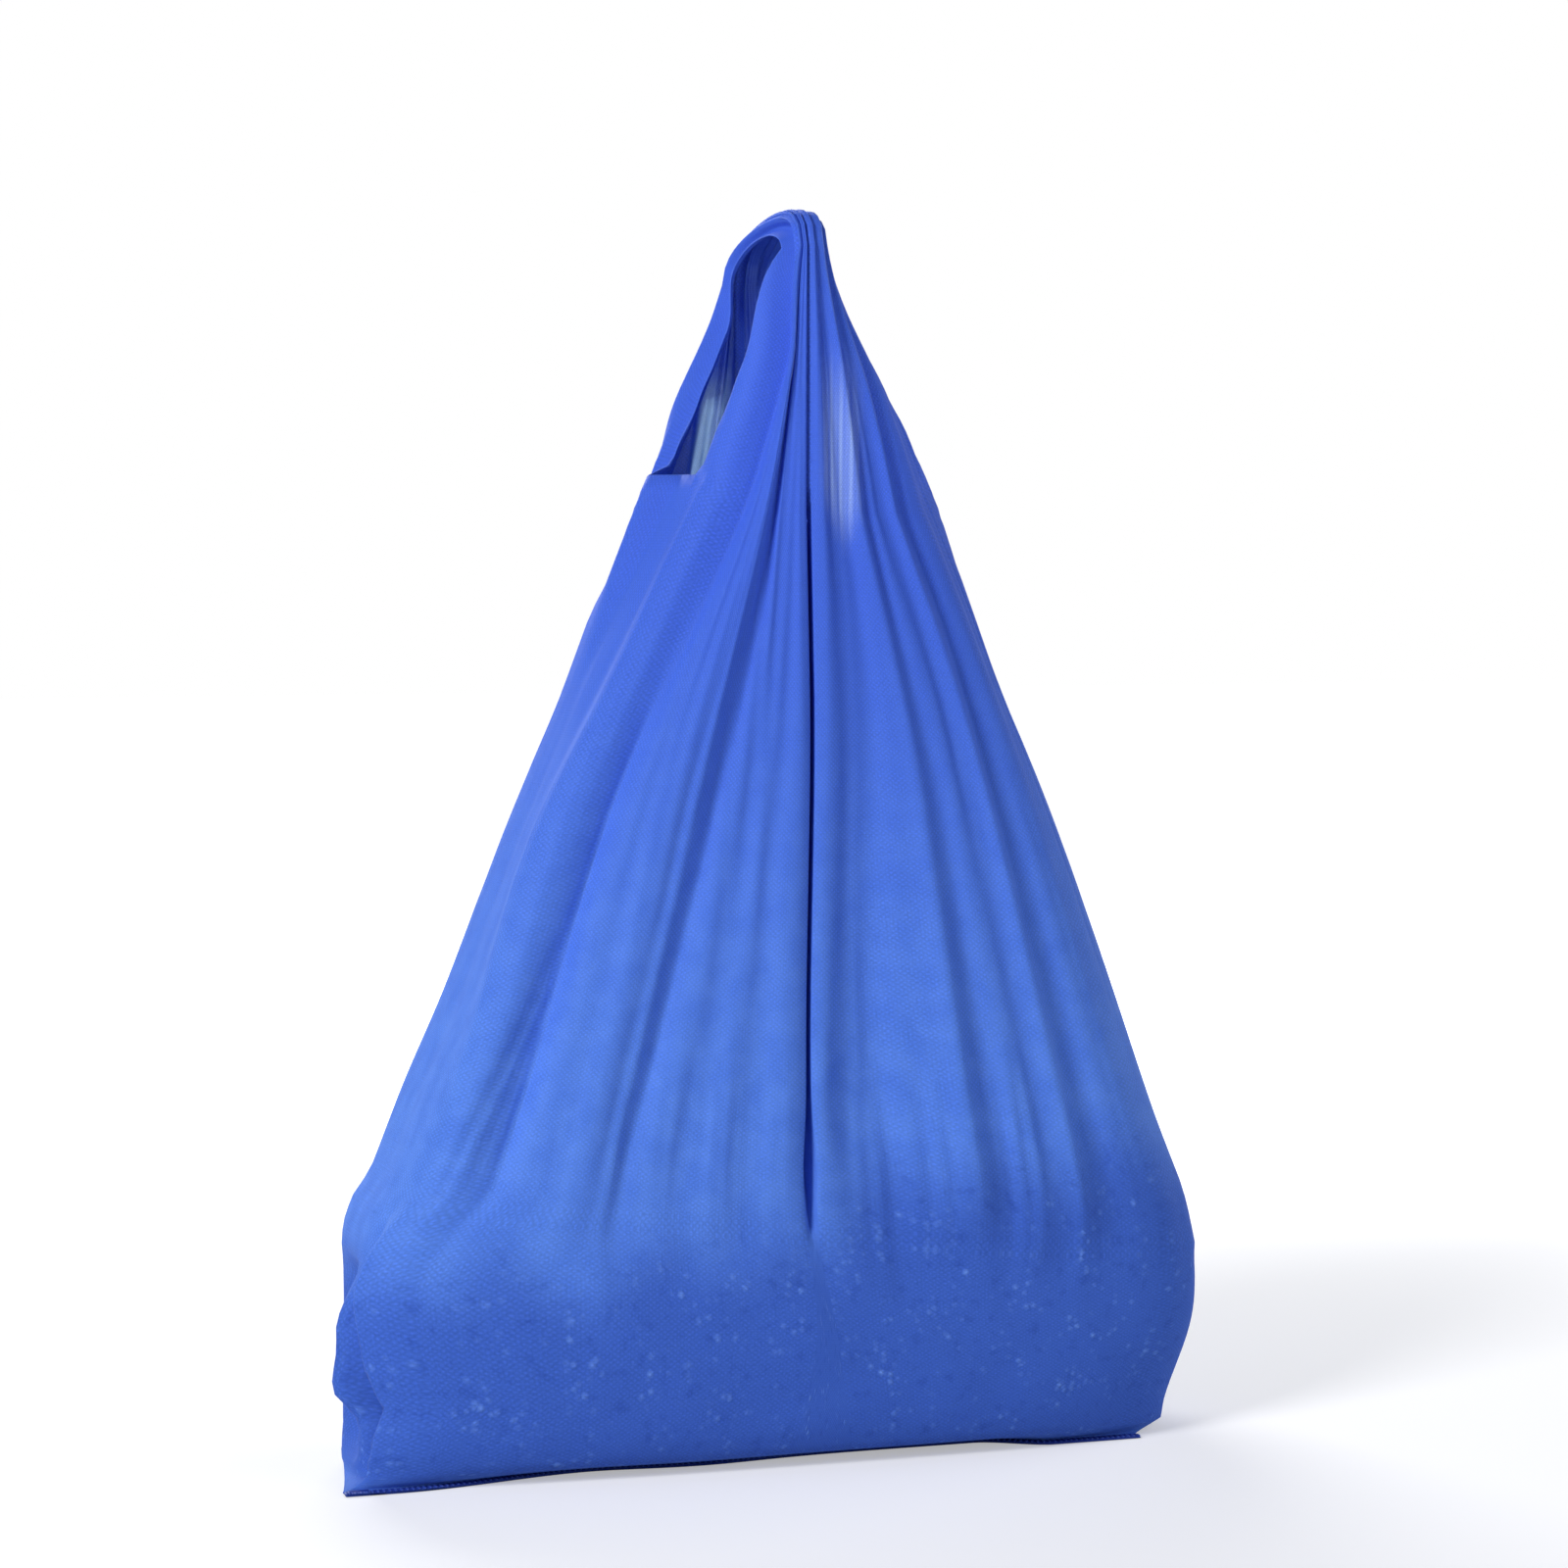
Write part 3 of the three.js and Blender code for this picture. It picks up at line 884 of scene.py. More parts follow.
    def pleats(self, quarter: Quarter, wander: Array, run: Array, height: float) -> Array:
        """Height of the long pleats of a quarter on one level.

        Args:
            quarter: The quarter of the cloth.
            wander: Places across the quarter, from 0 to 2.
            run: Length of cloth from the first station, in millimetres.
            height: Height of the level, in millimetres.

        Returns:
            Heights towards the outside, in millimetres, which end at nothing at the lip of the slit.
        """
        places = [facet.place(height) for facet in quarter.facets]
        turn = np.interp(wander, places, [facet.turn for facet in quarter.facets])
        uneven = self.pleat_uneven * ripple(wander, quarter.seed + FOOT_SEED, *self.uneven_waves)
        gain = self.pleat_gain * smooth(height + uneven, *self.pleat_foot)
        gain = gain * (1 + self.bunch_gain * float(smooth(height, *self.bunch_heights)))
        rise = np.tan(np.radians(gain * turn))
        lift = np.concatenate([[0.0], np.cumsum((rise[1:] + rise[:-1]) / 2 * np.diff(run))])
        end = self.lip_station
        lift -= lift[end] * run / run[end]
        lift[end:] = 0.0
        return -quarter.side * lift

    def relief(self, quarter: Quarter, wander: Array, height: Array, level: Level) -> Array:
        """Depth of the creases and fine wrinkles of a quarter on one level, towards the inside.

        Args:
            quarter: The quarter of the cloth.
            wander: Places across the quarter, from 0 to 2.
            height: Heights above the floor, in millimetres.
            level: The level.

        Returns:
            Depths, in millimetres.
        """
        total = np.zeros_like(wander)
        for crease in quarter.creases:
            total += crease.depth_at(wander, height)
        for wrinkles in WRINKLES:
            total += wrinkles.depth_at(quarter, wander, height)
        return total * (1 - smooth(wander, *self.slit_places)) * level.fold

    def points(self, quarter: Quarter, level: Level) -> Array:
        """Points of one level across a quarter, one for each station.

        Args:
            quarter: The quarter of the cloth.
            level: The level.

        Returns:
            The points, in millimetres.
        """
        face = 0 if quarter.face < 0 else 1
        depth = abs(level.out[face] - level.middle)
        corner = self.corner_share(level.power)
        share = self.shares
        across = np.zeros_like(share)
        out = np.zeros_like(share)
        wander = np.zeros_like(share)
        height = np.full_like(share, level.height[face])

        for kind in (Stretch.CUT, Stretch.STRIP):
            here = self.kinds == kind.value
            part = share[here]
            around = part * level.cut if kind is Stretch.CUT else mix(level.cut, 1.0, part)
            wander[here] = around
            across[here] = level.half_width * self.round_share(around * corner, level.power)
            tuck_end = self.notched_tuck_end if quarter.ear else self.tuck_end
            across[here] -= level.tuck * (1 - smooth(around, 0, tuck_end))
            out[here] = depth * around * corner
            height[here] = mix(level.side_height, level.height[face], around**level.taper)
            height[here] += level.lift * self.gusset_lift * (1 if kind is Stretch.CUT else 1 - part)

        here = self.kinds == Stretch.PANEL.value
        wander[here] = 1 + share[here]
        across[here] = mix(corner * level.half_width, level.lip, share[here])
        out[here] = depth * self.round_share(across[here] / level.half_width, level.power)

        here = self.kinds == Stretch.PLEAT.value
        part = share[here]
        wander[here] = 2.0
        swell = self.pleat_swell * level.pleat / self.pleat_depth
        lap = np.where(part > 0, level.lap, 0.0)
        tucked = np.minimum(1.0, part / self.lap_share)
        across[here] = mix(
            level.lip * (1 - part) + swell * np.sin(math.pi * part) ** 2,
            level.lip - (level.lip + self.lap_width) * tucked,
            lap,
        )
        height[here] -= self.mouth_droop * level.lift * np.sin(math.pi / 2 * part)
        out[here] = depth * self.round_share(np.array(level.lip / level.half_width), level.power)
        out[here] -= mix(level.pleat * part, self.lap_drop * np.sqrt(tucked), lap)

        run = np.concatenate([[0.0], np.cumsum(np.hypot(np.diff(across), np.diff(out)))])
        fold = self.relief(quarter, wander, height, level)
        fold -= self.pleats(quarter, wander, run, level.height[face])
        slope_x = (np.maximum(across, 0) / level.half_width) ** (level.power - 1) / level.half_width
        depth = max(depth, TINY)
        slope_y = (out / depth) ** (level.power - 1) / depth
        length = np.maximum(np.hypot(slope_x, slope_y), TINY)
        across -= fold * slope_x / length
        out -= fold * slope_y / length
        place = np.stack([quarter.side * across, level.middle + quarter.face * out, height], axis=1)
        return self.settled(quarter, wander, place, level)

    def settled(self, quarter: Quarter, wander: Array, place: Array, level: Level) -> Array:
        """Lets the points of a level slump, with their notch, folds, lumps and wandering seam.

        Args:
            quarter: The quarter of the cloth.
            wander: Places across the quarter, from 0 to 2.
            place: Points before they slump, in millimetres.
            level: The level.

        Returns:
            The points where they come to rest.
        """
        x, y, z = place.T.copy()
        reach = self.panel_width / 2
        z -= self.slump.drop_at(x / reach, z, self.filled_height)
        x += quarter.side * quarter.ear * self.notch.reach_at(wander, z)
        risen = (z - self.mouth_height).clip(0) / (self.gather_height - self.mouth_height)
        x += self.folds.shift_at(quarter, wander, z, self.cut_share + self.folds.drift * risen)
        x = self.slump.base_shifted(x, z, wander, level.sway, reach)
        x = self.slump.leaned(x, z, level.half_width)
        filled = self.slump.lump_heights.share(z) * smooth(wander, *self.slump.lump_places)
        y += quarter.face * self.slump.lump_depth * lumps(x, z) * filled
        y -= level.sway * self.slump.seam_at(x / reach)
        return np.stack([x, y, z], axis=1)

    def grip_points(self, front: Array, back: Array, share: float) -> Array:
        """Points of the grip between the front and back bunches at a share of its arch.

        Args:
            front: Points of the front bunch.
            back: Points of the back bunch.
            share: Share of the arch.

        Returns:
            One point for each station.
        """
        turn = math.pi * share
        reach = self.mouth_depth - self.gather_depth
        squeeze = 1 - self.grip_squeeze * math.sin(turn)
        out = mix(-front[:, 1] - reach, back[:, 1] - reach, share) * squeeze
        normal = np.array([-math.cos(turn) / reach, math.sin(turn) / self.grip_rise])
        normal /= np.linalg.norm(normal)
        rise = self.grip_rise * math.sin(turn)
        return np.stack(
            [
                mix(front[:, 0], back[:, 0], share),
                -reach * math.cos(turn) + out * normal[0],
                mix(front[:, 2], back[:, 2], float(smooth(share, 0, 1))) + rise + out * normal[1],
            ],
            axis=1,
        )

    def flat_across(self) -> Array:
        """Flat distance of each station from the middle of its panel, in millimetres.

        Returns:
            The distances, from the first station to the last.
        """
        leaf = self.gusset_leaf
        cut = leaf * self.cut_share
        spans = {
            Stretch.CUT: (0.0, cut),
            Stretch.STRIP: (cut, leaf),
            Stretch.PANEL: (leaf, leaf + self.panel_width / 2 - self.pleat_depth),
            Stretch.PLEAT: (leaf + self.panel_width / 2 - self.pleat_depth, leaf + self.panel_width / 2),
        }
        places = np.zeros_like(self.shares)
        for stretch, (low, high) in spans.items():
            here = self.kinds == stretch.value
            places[here] = mix(low, high, self.shares[here])
        return leaf + self.panel_width / 2 - places


@dataclass(frozen=True)
class Patches:
    """Where the look of the cloth changes, in millimetres."""

    # The painted shade of the filled part ends in an uneven top, higher on the right, and shows less at the
    # bottom edge
    filled_tops: Pair = (85.0, 121.0)
    filled_slope: Pair = (-40.0, 70.0)
    filled_fade: Pair = (20.0, 24.0)
    bottom: Pair = (1.0, 6.0)
    bottom_share: float = 0.3
    # Heights over which the drawn together cloth is painted darker as shade, most at the top
    gathered_painted_shade: Pair = (130.0, 400.0)
    # The tongue of single cloth in front, painted pale for the light behind it
    tongue_foot: float = 384.0
    tongue_uneven: float = 7.0
    tongue_rise: float = 24.0
    tongue_top: Pair = (428.0, 470.0)
    tongue_width: Band = Band(3.0, 10.0, 17.0, 27.0)
    tongue_share: float = 0.6
    # The inside of the back panel, painted pale for the light that comes through
    lit_heights: Band = Band(400.0, 412.0, 440.0, 462.0)
    lit_width: Band = Band(-28.0, -23.0, -16.0, -11.0)
    lit_slant: float = 0.22
    # The welded fin with its painted shade, by its length of cloth from the seam
    weld_top: float = -0.5

    def filled(self, place: Array) -> Array:
        """Share of the painted shade of the filled part at some points.

        Args:
            place: Points, in millimetres.

        Returns:
            Shares from 0 to 1.
        """
        x, _, z = place.T
        top = mix(*self.filled_tops, smooth(x, *self.filled_slope))
        top += 9 * np.sin(x / 21 + 0.7) * np.sin(x / 47) + 5 * np.sin(x / 9 + z / 23)
        below = 1 - smooth(z, top - self.filled_fade[0], top + self.filled_fade[1])
        return below * mix(self.bottom_share, 1.0, smooth(z, *self.bottom))

    def thin(self, place: Array) -> Array:
        """Share of the painted pale backlight at some points of the outside, in fine streaks.

        Args:
            place: Points, in millimetres.

        Returns:
            Shares from 0 to 1.
        """
        x, y, z = place.T
        streaks = 0.6 + 0.25 * np.sin(1.7 * x + 0.02 * z) + 0.2 * np.sin(3.1 * x + 1.0)
        foot = self.tongue_foot + self.tongue_uneven * np.sin(x / 3.4)
        tongue = smooth(z, foot, foot + self.tongue_rise) * (1 - smooth(z, *self.tongue_top))
        tongue = self.tongue_share * tongue * self.tongue_width.share(x) * streaks
        return np.clip(np.where(y < 0, tongue, 0), 0, 1)

    def lit(self, place: Array) -> Array:
        """Share of the painted pale light at some points of the inside.

        Args:
            place: Points, in millimetres.

        Returns:
            Shares from 0 to 1.
        """
        x, y, z = place.T
        across = x - self.lit_slant * (z - self.lit_heights.full)
        return np.where(y > 0, self.lit_heights.share(z) * self.lit_width.share(across), 0)


def add_object(name: str, data: ID) -> Object:
    """Adds an object to the scene.

    Args:
        name: Its name.
        data: Its mesh, curve, light or camera.

    Returns:
        The new object.
    """
    made = bpy.data.objects.new(name, data)
    bpy.context.scene.collection.objects.link(made)
    return made


def finished(source: Object, name: str) -> Object:
    """Turns an object with modifiers into a smooth piece of plain mesh, and removes the object.

    Args:
        source: The object with its modifiers.
        name: Name of the piece.

    Returns:
        The piece.
    """
    bpy.context.view_layer.update()
    mesh = bpy.data.meshes.new_from_object(source.evaluated_get(bpy.context.evaluated_depsgraph_get()))
    bpy.data.objects.remove(source)
    mesh.polygons.foreach_set("use_smooth", [True] * len(mesh.polygons))
    return add_object(name, mesh)


def stand_for_bag(piece: Object) -> None:
    """Tells the frame that a piece rides on the root body and shows the cloth of the bag.

    Args:
        piece: The piece.
    """
    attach(piece, "root")
    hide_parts("bag")


def linear(code: str) -> tuple[float, float, float, float]:
    """Turns six hex digits of an sRGB colour into linear red, green and blue, and full opacity.

    Args:
        code: The six digits.

    Returns:
        Red, green, blue and opacity, from 0 to 1.
    """
    parts = [int(code[index : index + 2], 16) / 255 for index in (0, 2, 4)]
    red, green, blue = (c / 12.92 if c <= 0.04045 else ((c + 0.055) / 1.055) ** 2.4 for c in parts)
    return red, green, blue, 1.0


@dataclass(frozen=True)
class Nodes:
    """A node tree, with one way to add any node to it."""

    tree: NodeTree

    @classmethod
    def of(cls, owner: Material | World) -> "Nodes":
        """Empties the node tree of a material or a world.

        Args:
            owner: The material or world.

        Returns:
            Its tree, ready for nodes.
        """
        owner.use_nodes = True
        owner.node_tree.nodes.clear()
        return cls(owner.node_tree)

    def add(self, kind: str, inputs: dict | None = None, **settings: object) -> Node:
        """Adds a node with its settings, values and links.

        Args:
            kind: Blender's name of the node type.
            inputs: Values or sockets for its inputs, by name or number.
            settings: Properties of the node.

        Returns:
            The new node.
        """
        node = self.tree.nodes.new(kind)
        for name, value in settings.items():
            setattr(node, name, value)
        for name, value in (inputs or {}).items():
            if isinstance(value, Socket):
                self.tree.links.new(value, node.inputs[name])
            else:
                node.inputs[name].default_value = value
        return node


@dataclass(frozen=True)
class SpunbondFinish:
    """Spunbond polypropylene: fine bonded fibres with an embossed diamond grid.

    The fibres scatter light, so the cloth is matt, mottled where the web is uneven, and lets some light
    through. Where the bag is filled its colour is painted darker, as painted shade for the light that the
    contents would keep back. Noises are a size in millimetres and a detail, and reliefs are a depth in
    millimetres and a strength.

    Attributes:
        slack: Colour of cloth with nothing behind it.
        cloudy: Colour of its denser clouds.
        gathered_painted_shade: Colour of cloth that is drawn together, painted darker towards the top as
            shade, where its layers take the light away.
        filled: Colour of cloth where the bag is filled: painted shade, darker for the light that the contents
            behind it would keep back.
        shaded: Colour of the uneven mottling of that painted shade.
        speck: Colour of the raised specks there.
        thin: Colour of a single layer with light behind it: painted pale backlight.
        weld_and_painted_shade: Colour of the welded fin, darker partly because the melted fibres no longer
            scatter light and partly as painted shade under the hem.
        emboss_mm: Spacing of the embossed lines, about half as coarse again as real ones so that it shows.
        fibre_noise: Grain of the fibres.
        cloud_noise: Clouds of the web.
        mottle_noise: Mottling where the bag is filled.
        speck_cell_mm: Spacing of the raised specks.
        speck_radius_mm: Radius of a raised speck.
        group_noise: Groups that they lie in.
    """

    slack: str = "5a86ea"
    cloudy: str = "527de3"
    gathered_painted_shade: str = "4568da"
    filled: str = "4166c8"
    shaded: str = "395cbb"
    speck: str = "6b95f0"
    thin: str = "b0c8fb"
    weld_and_painted_shade: str = "24398c"
    emboss_mm: float = 1.6
    emboss_turn: float = 58.0
    emboss_bend: float = 0.6
    emboss_span: Pair = (0.0, 0.8)
    emboss_tone: Pair = (0.92, 1.1)
    emboss_relief: Pair = (0.12, 0.5)
    fibre_noise: Pair = (0.9, 2.0)
    fibre_span: Pair = (0.3, 0.75)
    fibre_tone: Pair = (0.86, 1.12)
    fibre_relief: Pair = (0.25, 0.35)
    cloud_noise: Pair = (14.0, 3.0)
    cloud_span: Pair = (0.38, 0.64)
    mottle_noise: Pair = (6.0, 2.0)
    mottle_span: Pair = (0.56, 0.74)
    speck_cell_mm: float = 4.0
    speck_radius_mm: float = 1.8
    speck_top: float = 0.1
    speck_chance: Pair = (0.1, 0.8)
    speck_relief: Pair = (0.8, 0.6)
    group_noise: Pair = (16.0, 2.0)
    group_span: Pair = (0.45, 0.66)
    roughness: float = 0.6
    specular: float = 0.05
    scatter: Pair = (0.3, 0.85)
    scatter_span: Pair = (0.75, 1.0)
    scatter_radius: Triple = (0.65, 0.75, 1.0)
    scatter_mm: float = 3.0

    def material(self) -> Material:
        """Builds the material of the cloth.

        Returns:
            The material.
        """
        made = bpy.data.materials.new("spunbond_polypropylene")
        nodes = Nodes.of(made)
        flat = nodes.add("ShaderNodeUVMap", uv_map="flat").outputs["UV"]
        filled, gather_painted_shade, thin, weld_and_painted_shade = (
            nodes.add("ShaderNodeAttribute", attribute_name=name).outputs["Fac"]
            for name in ("filled", "gather_painted_shade", "thin", "weld_and_painted_shade")
        )
        noises = []
        for size, detail in (self.fibre_noise, self.cloud_noise, self.mottle_noise, self.group_noise):
            inputs = {"Vector": flat, "Scale": 1 / (size * MM), "Detail": detail}
            noises.append(nodes.add("ShaderNodeTexNoise", inputs).outputs["Fac"])
        fibres, clouds, mottle, groups = noises
        emboss = self._emboss(nodes, flat)
        specks = self._specks(nodes, flat, groups, filled)
        ranges = (
            (fibres, self.fibre_span, self.fibre_tone),
            (emboss, self.emboss_span, self.emboss_tone),
            (clouds, self.cloud_span, ()),
            (mottle, self.mottle_span, ()),
            (thin, self.scatter_span, self.scatter),
        )
        spans = []
        for value, limits, results in ranges:
            inputs = dict(zip(SPAN_INPUTS, (value, *limits, *results)))
            spans.append(nodes.add("ShaderNodeMapRange", inputs).outputs["Result"])
        fibre_tone, emboss_tone, cloudy, mottled, scatter = spans
        shade = nodes.add("ShaderNodeMath", {0: mottled, 1: filled}, operation="MULTIPLY").outputs[0]
        weave = nodes.add("ShaderNodeMath", {0: fibre_tone, 1: emboss_tone}, operation="MULTIPLY").outputs[0]
        layers = (
            (self.cloudy, cloudy),
            # Painted shade, darker towards the top of the drawn together cloth
            (self.gathered_painted_shade, gather_painted_shade),
            # Painted shade where the bag is filled, with its mottling
            (self.filled, filled),
            (self.shaded, shade),
            # Painted pale backlight on single layers
            (self.thin, thin),
            # Darker fin: welded, and painted shade under the hem
            (self.weld_and_painted_shade, weld_and_painted_shade),
            (self.speck, specks),
        )
        # The colours of a Mix node are its inputs 6 and 7 and its output 2
        tone = linear(self.slack)
        for colour, share in layers:
            inputs = {"Factor": share, 6: tone, 7: linear(colour)}
            tone = nodes.add("ShaderNodeMix", inputs, data_type="RGBA").outputs[2]
        inputs = {"Factor": 1.0, 6: tone, 7: weave}
        tone = nodes.add("ShaderNodeMix", inputs, data_type="RGBA", blend_type="MULTIPLY").outputs[2]
        normal = {}
        reliefs = ((emboss, self.emboss_relief), (fibres, self.fibre_relief), (specks, self.speck_relief))
        for height, (depth, strength) in reliefs:
            inputs = {"Height": height, "Distance": depth * MM, "Strength": strength}
            normal = {"Normal": nodes.add("ShaderNodeBump", inputs | normal).outputs["Normal"]}
        shader = nodes.add(
            "ShaderNodeBsdfPrincipled",
            {
                "Base Color": tone,
                "Roughness": self.roughness,
                "IOR": POLYPROPYLENE_IOR,
                "Specular IOR Level": self.specular,
                "Subsurface Weight": scatter,
                "Subsurface Radius": self.scatter_radius,
                "Subsurface Scale": self.scatter_mm * MM,
                **normal,
            },
        )
        nodes.add("ShaderNodeOutputMaterial", {"Surface": shader.outputs["BSDF"]})
        return made

    def _emboss(self, nodes: Nodes, flat: Socket) -> Socket:
        """Adds the two crossing sets of embossed lines.

        Args:
            nodes: The tree of the material.
            flat: The flat map of the cloth.

        Returns:
            Height of the lines, from 0 to 1.
        """
        lines = []
        for angle in (self.emboss_turn, -self.emboss_turn):
            turned = nodes.add("ShaderNodeMapping", {"Vector": flat, "Rotation": (0, 0, math.radians(angle))})
            inputs = {"Vector": turned.outputs["Vector"], "Scale": WAVE_LENGTH / (self.emboss_mm * MM)}
            wave = nodes.add("ShaderNodeTexWave", inputs | {"Distortion": self.emboss_bend, "Detail": 1.0})
            lines.append(wave.outputs["Fac"])
        return nodes.add("ShaderNodeMath", dict(enumerate(lines)), operation="MULTIPLY").outputs[0]

    def _specks(self, nodes: Nodes, flat: Socket, groups: Socket, filled: Socket) -> Socket:
        """Adds the raised specks of the filled cloth, scattered in groups.

        Args:
            nodes: The tree of the material.
            flat: The flat map of the cloth.
            groups: Noise of the groups that the specks lie in.
            filled: Share of the painted shade of the filled part.

        Returns:
            Height of the specks, from 0 to 1.
        """
        inputs = {"Vector": flat, "Scale": 1 / (self.speck_cell_mm * MM), "Randomness": 1.0}
        cells = nodes.add("ShaderNodeTexVoronoi", inputs)
        chance = nodes.add("ShaderNodeSeparateColor", {"Color": cells.outputs["Color"]})
        edge = self.speck_radius_mm / self.speck_cell_mm
        ranges = (
            (chance.outputs["Red"], self.speck_chance),
            (groups, self.group_span),
            (cells.outputs["Distance"], (edge, self.speck_top * edge)),
        )
        shares = []
        for value, limits in ranges:
            inputs = dict(zip(SPAN_INPUTS, (value, *limits)))
            shares.append(nodes.add("ShaderNodeMapRange", inputs).outputs["Result"])
        there, *others = shares
        for share in (*others, filled):
            there = nodes.add("ShaderNodeMath", {0: there, 1: share}, operation="MULTIPLY").outputs[0]
        return there


@dataclass
class CarrierCloth:
    """The folded and welded cloth of the bag: panels, gussets, handles and bottom fin.

    Attributes:
        form: Its form.
        thickness: Thickness of the cloth, in millimetres.
        flat_length: Length of the flat tube that it was cut from, in millimetres. Not used.
        flat_area: Area of the cut cloth, in square metres. Not used.
        patches: Where its look changes.
        verts: Rows of points, in millimetres.
        quads: Point numbers of the faces.
        across: Flat distance of the points from the middle of their panel, by row.
        along: Flat distance of the points from the seam, by row.
        count: Number of points.
    """

    form: ClothForm
    thickness: float = 0.45
    flat_length: float = 600.0
    flat_area: float = 0.53
    patches: Patches = Patches()
    verts: list[Array] = field(default_factory=list)
    quads: list[tuple[int, int, int, int]] = field(default_factory=list)
    across: list[Array] = field(default_factory=list)
    along: list[Array] = field(default_factory=list)
    count: int = 0

    def add_row(self, points: Array, across: Array, along: float) -> Array:
        """Adds a row of points with their flat distances, and gives their numbers.

        Args:
            points: The points, in millimetres.
            across: Flat distance of each from the middle of its panel, in millimetres.
            along: Length of cloth from the seam, in millimetres.

        Returns:
            Numbers of the new points.
        """
        numbers = np.arange(self.count, self.count + len(points))
        self.count += len(points)
        self.verts.append(points)
        self.across.append(across)
        self.along.append(np.full(len(points), along))
        return numbers

    def add_ring(self, level: Level) -> Array:
        """Adds one closed row of points round the bag.

        Args:
            level: The level.

        Returns:
            Numbers of the new points.
        """
        last = self.form.last
        flat = self.form.flat_across()
        parts, places = [], []
        for index, quarter in enumerate(self.form.quarters):
            points = self.form.points(quarter, level)
            order = slice(0, last) if index % 2 == 0 else slice(last, 0, -1)
            parts.append(points[order])
            places.append(quarter.side * flat[order])
        return self.add_row(np.concatenate(parts), np.concatenate(places), level.along)

    def place_of(self, quarter: int, station: int) -> int:
        """Place round a ring of one station of a quarter.

        Args:
            quarter: Number of the quarter.
            station: Number of the station.

        Returns:
            The place, counted from the ring's first point.
        """
        last = self.form.last
        start = last * (quarter + quarter % 2)
        return (start + station if quarter % 2 == 0 else start - station) % (4 * last)

    def join(self, low: Array, high: Array, closed: bool, turned: bool = False) -> None:
        """Adds the faces between two rows.

        Args:
            low: Numbers of the points of the lower row.
            high: Numbers of the points of the upper row.
            closed: Whether the rows are rings.
            turned: Whether the faces are turned round.
        """
        count = len(low) if closed else len(low) - 1
        for index in range(count):
            after = (index + 1) % len(low)
            quad = (low[index], low[after], high[after], high[index])
            self.quads.append(tuple(reversed(quad)) if turned else quad)

    def close_seam(self, ring: Array) -> None:
        """Joins the front panel to the back panel along the free edge of the fin.

        Args:
            ring: Numbers of the points at the free edge.
        """
        for front, back, turned in ((0, 3, True), (1, 2, False)):
            stations = range(self.form.last + 1)
            near = np.array([ring[self.place_of(front, station)] for station in stations])
            far = np.array([ring[self.place_of(back, station)] for station in stations])
            self.join(near, far, closed=False, turned=turned)

    def add_handle(self, front: int, back: int, mouth: Array) -> None:
        """Adds one handle, from its front strip over the grip to its back strip.

        Args:
            front: Number of the front quarter.
            back: Number of the back quarter.
            mouth: Numbers of the points of the ring at the mouth.
        """
        form = self.form
        end = form.lip_station + (form.lap_stations if form.quarters[front].side > 0 else 0)
        stations = np.arange(form.strip_start, end + 1)
        flat = form.quarters[front].side * form.flat_across()[stations]
        levels = [form.strip_level(step / form.strip_rows) for step in range(1, form.strip_rows + 1)]
        rows = [np.array([mouth[self.place_of(front, station)] for station in stations])]
        for level in levels:
            rows.append(self.add_row(form.points(form.quarters[front], level)[stations], flat, level.along))
        tops = [form.points(form.quarters[index], levels[-1])[stations] for index in (front, back)]
        for step in range(1, form.grip_rows):
            share = step / form.grip_rows
            along = levels[-1].along + form.grip_length * min(share, 1 - share)
            rows.append(self.add_row(form.grip_points(*tops, share), flat, along))
        for level in reversed(levels):
            rows.append(self.add_row(form.points(form.quarters[back], level)[stations], flat, level.along))
        rows.append(np.array([mouth[self.place_of(back, station)] for station in stations]))
        for low, high in zip(rows[:-1], rows[1:]):
            self.join(low, high, closed=False, turned=form.quarters[front].side > 0)

    def build(self, material: Material) -> Object:
        """Builds the cloth as one slim shell.

        Args:
            material: Material of the cloth.

        Returns:
            The piece.
        """
        form = self.form
        base = form.base_levels()
        levels = form.fin_levels(base[0]) + base
        levels += [form.gather_level(step / form.gather_rows) for step in range(1, form.gather_rows + 1)]
        rings = [self.add_ring(level) for level in levels]
        self.close_seam(rings[0])
        for low, high in zip(rings[:-1], rings[1:]):
            self.join(low, high, closed=True)
        self.add_handle(0, 3, rings[-1])
        self.add_handle(1, 2, rings[-1])
        points = np.concatenate(self.verts)
        mesh = bpy.data.meshes.new("bag_cloth")
        mesh.from_pydata((points * MM).tolist(), [], [tuple(map(int, quad)) for quad in self.quads])
        mesh.materials.append(material)
        self.add_patterns(mesh, points)
        sheet = add_object("bag_cloth_sheet", mesh)
        wall = sheet.modifiers.new("thickness", "SOLIDIFY")
        wall.thickness = self.thickness * MM
        wall.offset = -1.0
        piece = finished(sheet, "bag_cloth")
        thin = piece.data.attributes["thin"].data
        pale = np.zeros(len(thin), dtype=np.float32)
        thin.foreach_get("value", pale)
        # Paints pale light on the inside of the back panel
        pale[len(points) :] = self.patches.lit(points)
        thin.foreach_set("value", pale)
        return piece

